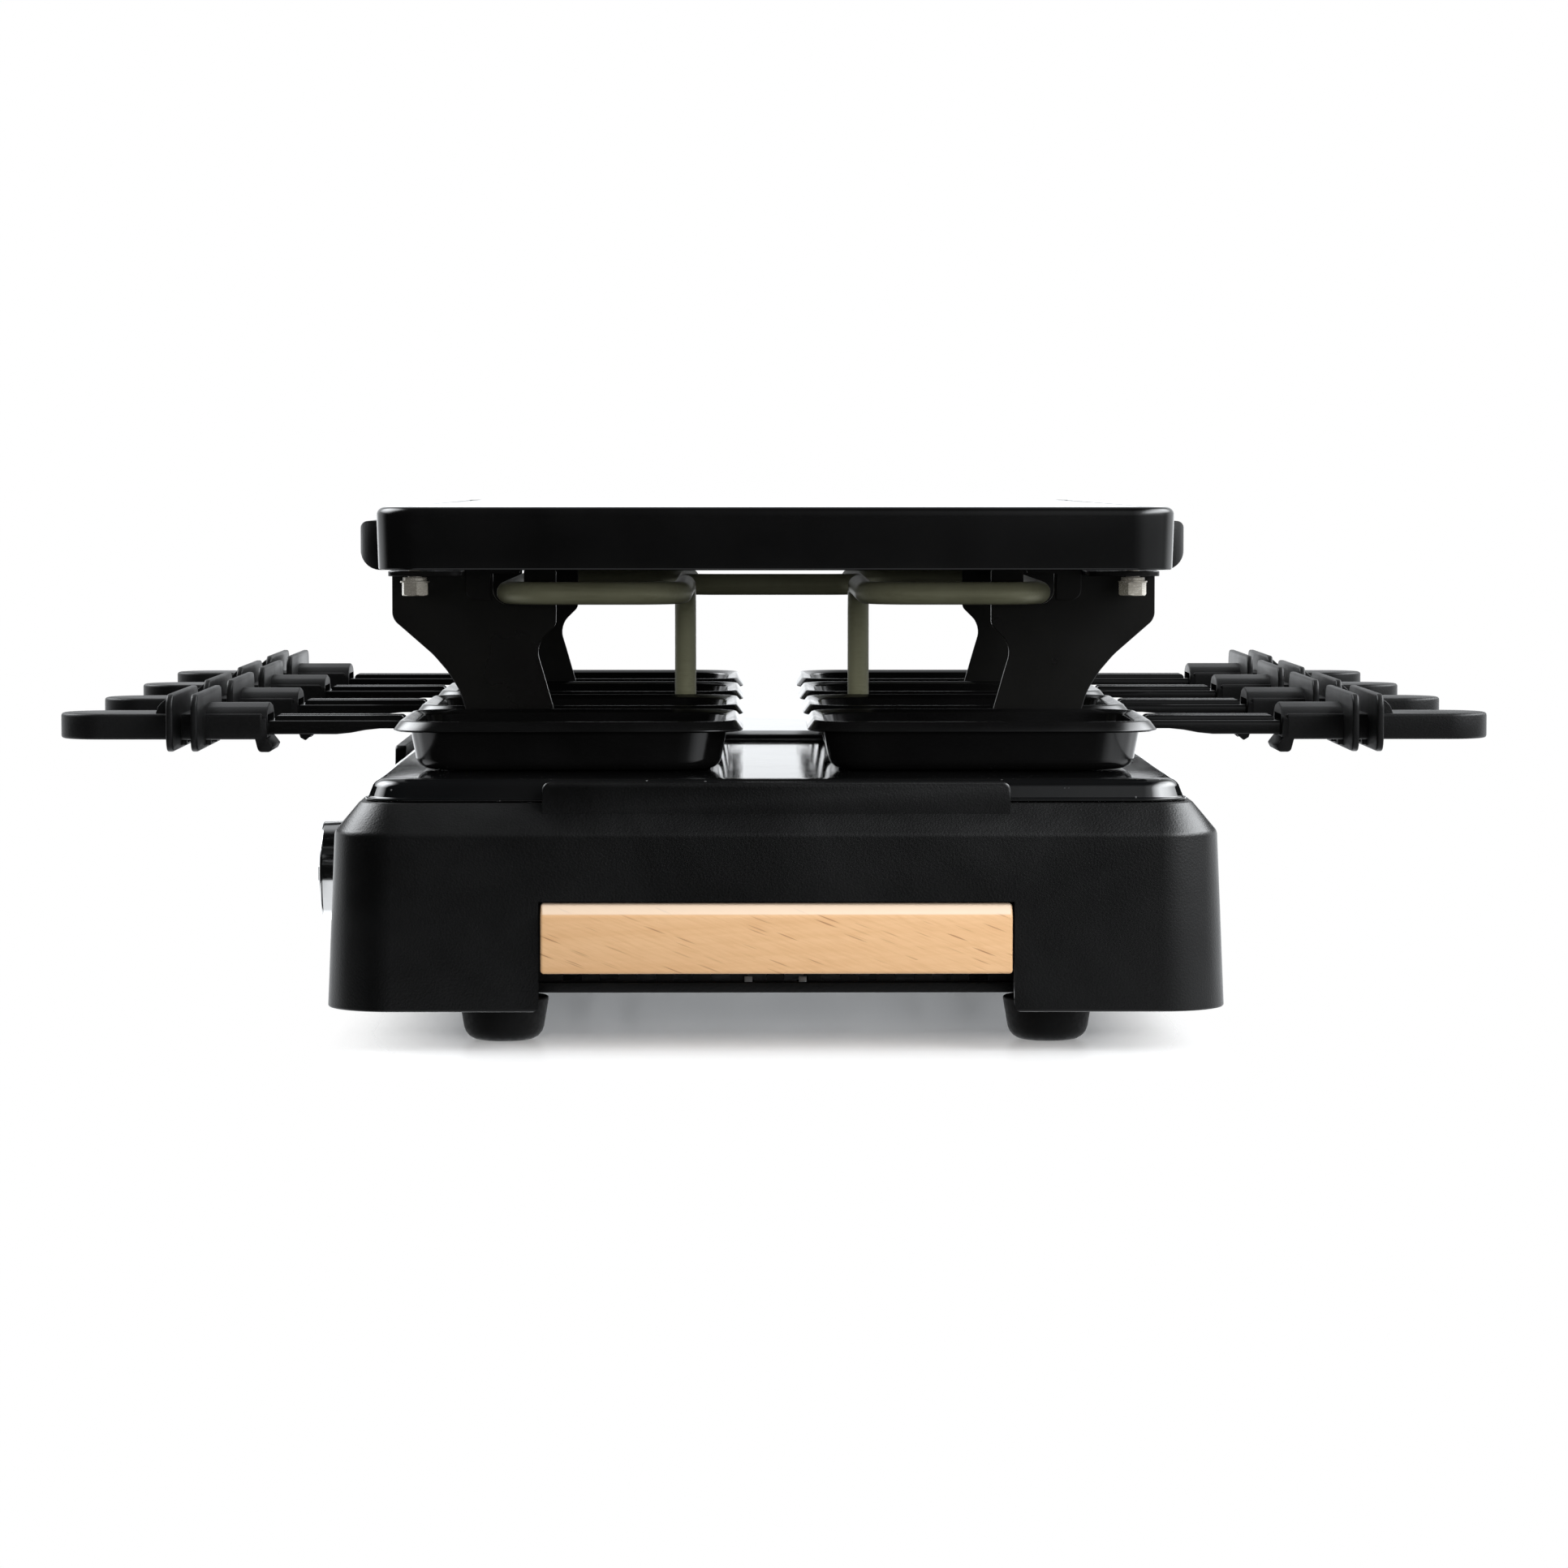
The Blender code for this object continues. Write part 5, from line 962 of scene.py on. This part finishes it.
def pan_tang():
    """Folded channel whose flanges deepen away from the bowl, with two pressed ridges and a catch."""
    outline = [(-9, 9.0, 0.3), (-7.9, 9.0, 0), (-7.9, 11.3, 0.6), (7.9, 11.3, 0.6), (7.9, 9.0, 0),
               (9, 9.0, 0.3), (9, 12.4, 1.3), (-9, 12.4, 1.3)]
    tang = prism(outline, "X", 45.6, 102.0)
    begins, ends, shallow, deeper = 53.0, 65.0, 1.2, 1.6
    for x in (begins, 57.0, 61.0, ends):
        geometry = tang.verts[:] + tang.edges[:] + tang.faces[:]
        bmesh.ops.bisect_plane(tang, geom=geometry, plane_co=(x, 0, 0), plane_no=(1, 0, 0))
    for vert in tang.verts:
        if vert.co.z < 9.6:
            drop = min(max((vert.co.x - begins) / (ends - begins), 0.0), 1.0)
            vert.co.z += shallow - deeper * drop * drop * (3 - 2 * drop)
    pieces = []
    for y in (-4.2, 4.2):
        ridge = block((46.4, y - 1.5, 11.6), (82.4, y + 1.5, 13.75))
        bevel(ridge, between(ridge, lambda co: co.z > 13.7), 1.2, 4)
        pieces.append(ridge)
    for side in (-1, 1):
        catch = prism([(70.6, 9.4, 0), (75.6, 9.4, 0), (75.0, 7.7, 0.3), (73.6, 6.9, 0.4)], "Y", 8.0, 8.9)
        pieces.append(flipped(catch, 1, side))
    return fused(tang, *pieces)


def fin(x):
    """One guard fin with round corners and softened edges."""
    shape = prism([(-34, 4.9, 4.0), (34, 4.9, 4.0), (34, 20.7, 4.0), (-34, 20.7, 4.0)], "X", x, x + 1.9, 7)
    return soften(shape, 0.55, 3, angle=math.radians(60))


def pan_handle():
    """Moulded handle: round tip, arched back, two guard fins, thumb rest, heel hook and lugs."""
    body = prism([(85.1, -12.5, 0.8), (142.3, -12.5, 12.4), (142.3, 12.5, 12.4), (85.1, 12.5, 0.8)], "Z",
                 7.3, 14.4, 14)
    soften(body, 0.9, 3, angle=math.radians(50))
    hump = prism([(-12.45, 7.9, 0), (12.45, 7.9, 0), (12.45, 13.2, 1.4), (9.0, 16.0, 7), (0, 17.4, 14),
                  (-9.0, 16.0, 7), (-12.45, 13.2, 1.4)], "X", 84.0, 101.5, 6)
    soften(hump, 0.8, 3, lambda co: co.x < 84.1 and co.z > 8.5)
    thumb = prism([(109.0, 13.4, 0), (115.4, 13.4, 0), (114.4, 16.6, 3.0), (111.6, 19.0, 2.6),
                   (109.0, 19.2, 0)], "Y", -9, 9, 6)
    soften(thumb, 0.8, 3, lambda co: abs(co.y) > 8.9 and co.z > 13.6)
    hook = prism([(82.4, 5.4, 0.5), (83.2, 3.8, 0.8), (86.4, 3.8, 1.2), (87.4, 7.9, 0), (84.4, 7.9, 0.5)],
                 "Y", -12.4, 12.4, 5)
    soften(hook, 0.5, 2, lambda co: abs(co.y) > 12.3 and co.z < 7.5)
    lugs = [block((x - 1.6, y - 1.1, 5.6), (x, y + 1.1, 8.4), 0.4, 2)
            for x in (101.4, 108.1) for y in (-8.6, 8.6)]
    body = fused(body, hump, fin(101.0), fin(107.7), thumb, hook, *lugs)
    return cut(body, block((80, -9.3, 8.4), (102.4, 9.3, 14.1)))


def make_pans():
    shapes = (("pan_bowl", gathered(drawn_bowl(), pan_tang()), "pan_coating", "pan"),
              ("pan_grip", pan_handle(), "handle_black", "pan_handle"))
    spots = [(side, row) for side in (-1, 1) for row in range(4)]
    for number, (side, row) in enumerate(spots, 1):
        for name, shape, finish, node in shapes:
            copy = rotated(shape.copy(), 90 - 90 * side, "Z")
            copy = moved(copy, side * PAN_CENTRE, (row - 1.5) * PAN_PITCH, BRACKET_LOW)
            place(f"{name}_{number}", copy, finish, f"pan_body_{number}", f"{node}_{number}")


# Light, floor and camera

def make_world():
    """White to the eye. The grill sees a bright room behind it, a high soft box on each side, a dim
    glow on the right, pale ground with two dark bands, and darkness in front."""
    world = bpy.data.worlds.new("studio")
    bpy.context.scene.world = world
    world.use_nodes = True
    tree = world.node_tree
    tree.nodes.clear()
    ray = add_node(tree, "LightPath").outputs
    way = add_node(tree, "SeparateXYZ", {"Vector": add_node(tree, "TexCoord").outputs["Generated"]}).outputs
    aside = maths(tree, "ABSOLUTE", way["X"])
    left_level, right_level, glow_level, ground_level, skyline_level = 11.0, 12.0, 1.5, 0.85, 0.9
    room_front, room_top, boxes_on_dull = 0.004, 0.33, 0.12

    def ramp(axis, *limits):
        return spread(tree, way[axis], *limits)

    room = maths(tree, "MULTIPLY", ramp("Y", 0.20, 0.50, room_front, 1.0),
                 ramp("Z", 0.25, 0.62, 1.0, room_top))
    skyline = maths(tree, "MULTIPLY", ramp("Y", 0.80, 0.95),
                    ramp("Z", 0.060, 0.025, 0.0, skyline_level))
    left = maths(tree, "MULTIPLY", ramp("X", -0.28, -0.56, 0.0, left_level),
                 ramp("Y", -0.09, 0.30), ramp("Z", 0.28, 0.62))
    right = maths(tree, "MULTIPLY", ramp("X", 0.38, 0.68, 0.0, right_level),
                  ramp("Z", 0.30, 0.62, 0.02, 1.0))
    glow = maths(tree, "MULTIPLY", ramp("X", 0.0, 0.45, 0.0, glow_level),
                 ramp("Y", 0.30, 0.0), ramp("Z", 0.0, 0.40, 0.2, 1.0))
    boxes = maths(tree, "MULTIPLY", maths(tree, "ADD", left, right, glow),
                  spread(tree, ray["Is Diffuse Ray"], 0.0, 1.0, 1.0, boxes_on_dull),
                  ramp("Z", 0.96, 0.84), ramp("Y", 0.90, 0.70))
    between_bands = maths(tree, "MAXIMUM", spread(tree, aside, 0.34, 0.22), spread(tree, aside, 0.62, 0.84))
    ground = maths(tree, "MULTIPLY", ramp("Z", -0.29, -0.34),
                   spread(tree, ray["Is Diffuse Ray"], 0.0, 1.0, ground_level, 0.0), between_bands)
    level = maths(tree, "ADD", room, skyline, boxes, ground)
    lit = add_node(tree, "Background", {"Strength": level, "Color": (0.95, 0.975, 1, 1)})
    white = add_node(tree, "Background", {"Color": (1, 1, 1, 1), "Strength": 1.0})
    mix = add_node(tree, "MixShader", {0: ray["Is Camera Ray"], 1: lit.outputs[0], 2: white.outputs[0]})
    out = tree.nodes.new("ShaderNodeOutputWorld")
    tree.links.new(mix.outputs[0], out.inputs["Surface"])


def make_light(name, at, aim, size, power):
    """A wide soft lamp that lights the grill and leaves no picture of itself in its gloss."""
    lamp = bpy.data.lights.new(name, "AREA")
    lamp.shape = "RECTANGLE"
    lamp.size, lamp.size_y = size
    lamp.energy = power
    holder = bpy.data.objects.new(name, lamp)
    holder.location = at
    holder.rotation_euler = (Vector(aim) - Vector(at)).to_track_quat("-Z", "Y").to_euler()
    holder.visible_glossy = holder.visible_camera = False
    bpy.context.scene.collection.objects.link(holder)


def make_floor():
    """A pale floor under the grill that fades out into the white round it."""
    dark, pale = grey(0.80), grey(0.83)
    bm = bmesh.new()
    bmesh.ops.create_circle(bm, cap_ends=True, segments=96, radius=0.5)
    mesh = bpy.data.meshes.new("floor")
    bm.to_mesh(mesh)
    bm.free()
    made = Finish("floor_white", Roughness=0.3, Specular_IOR_Level=0.3)
    clouds = made.effect(SOFT_CLOUDS, Scale=0.7)
    made.mixed(clouds["Mask"], dark, pale)
    spot = add_node(made.tree, "SeparateXYZ", {"Vector": made.where}).outputs
    sides = []
    for name, full, gone in (("X", 0.084, 0.120), ("Y", 0.185, 0.300)):
        away = maths(made.tree, "ABSOLUTE", spot[name])
        sides.append(spread(made.tree, away, full, gone, 1.0, 0.0))
    made.tree.links.new(maths(made.tree, "MULTIPLY", *sides), made.shader.inputs["Alpha"])
    mesh.materials.append(made.material)
    floor = bpy.data.objects.new("floor", mesh)
    floor.location = (0, 0, -0.0002)
    floor.visible_glossy = False
    bpy.context.scene.collection.objects.link(floor)


def make_camera():
    view = bpy.data.cameras.new("view")
    view.sensor_width = 36.0
    view.lens = view.sensor_width * FOCAL / PICTURE
    view.clip_start = 0.01
    camera = bpy.data.objects.new("camera", view)
    camera.location = (-0.0085, -1.610, 0.152)
    down, aside = 3.39, 0.436
    camera.rotation_euler = (math.radians(90 - down), 0, math.radians(-aside))
    bpy.context.scene.collection.objects.link(camera)
    bpy.context.scene.camera = camera


make_camera()
make_world()
make_light("overhead", at=(0, 1.0, 1.9), aim=(0, 0, 0), size=(2.4, 2.4), power=12)
make_light("front", at=(0, -2.1, 0.32), aim=(0, -0.1, 0.09), size=(2.6, 0.55), power=31)
make_floor()
bpy.context.scene.view_settings.view_transform = "Standard"

for make in (make_housing, make_cover, make_feet, make_bars, make_deck, make_leg_plate, make_brackets,
             make_bolts, make_element, make_knob, make_side_fittings, make_inner_parts, make_plate,
             make_grips, make_pans):
    make()
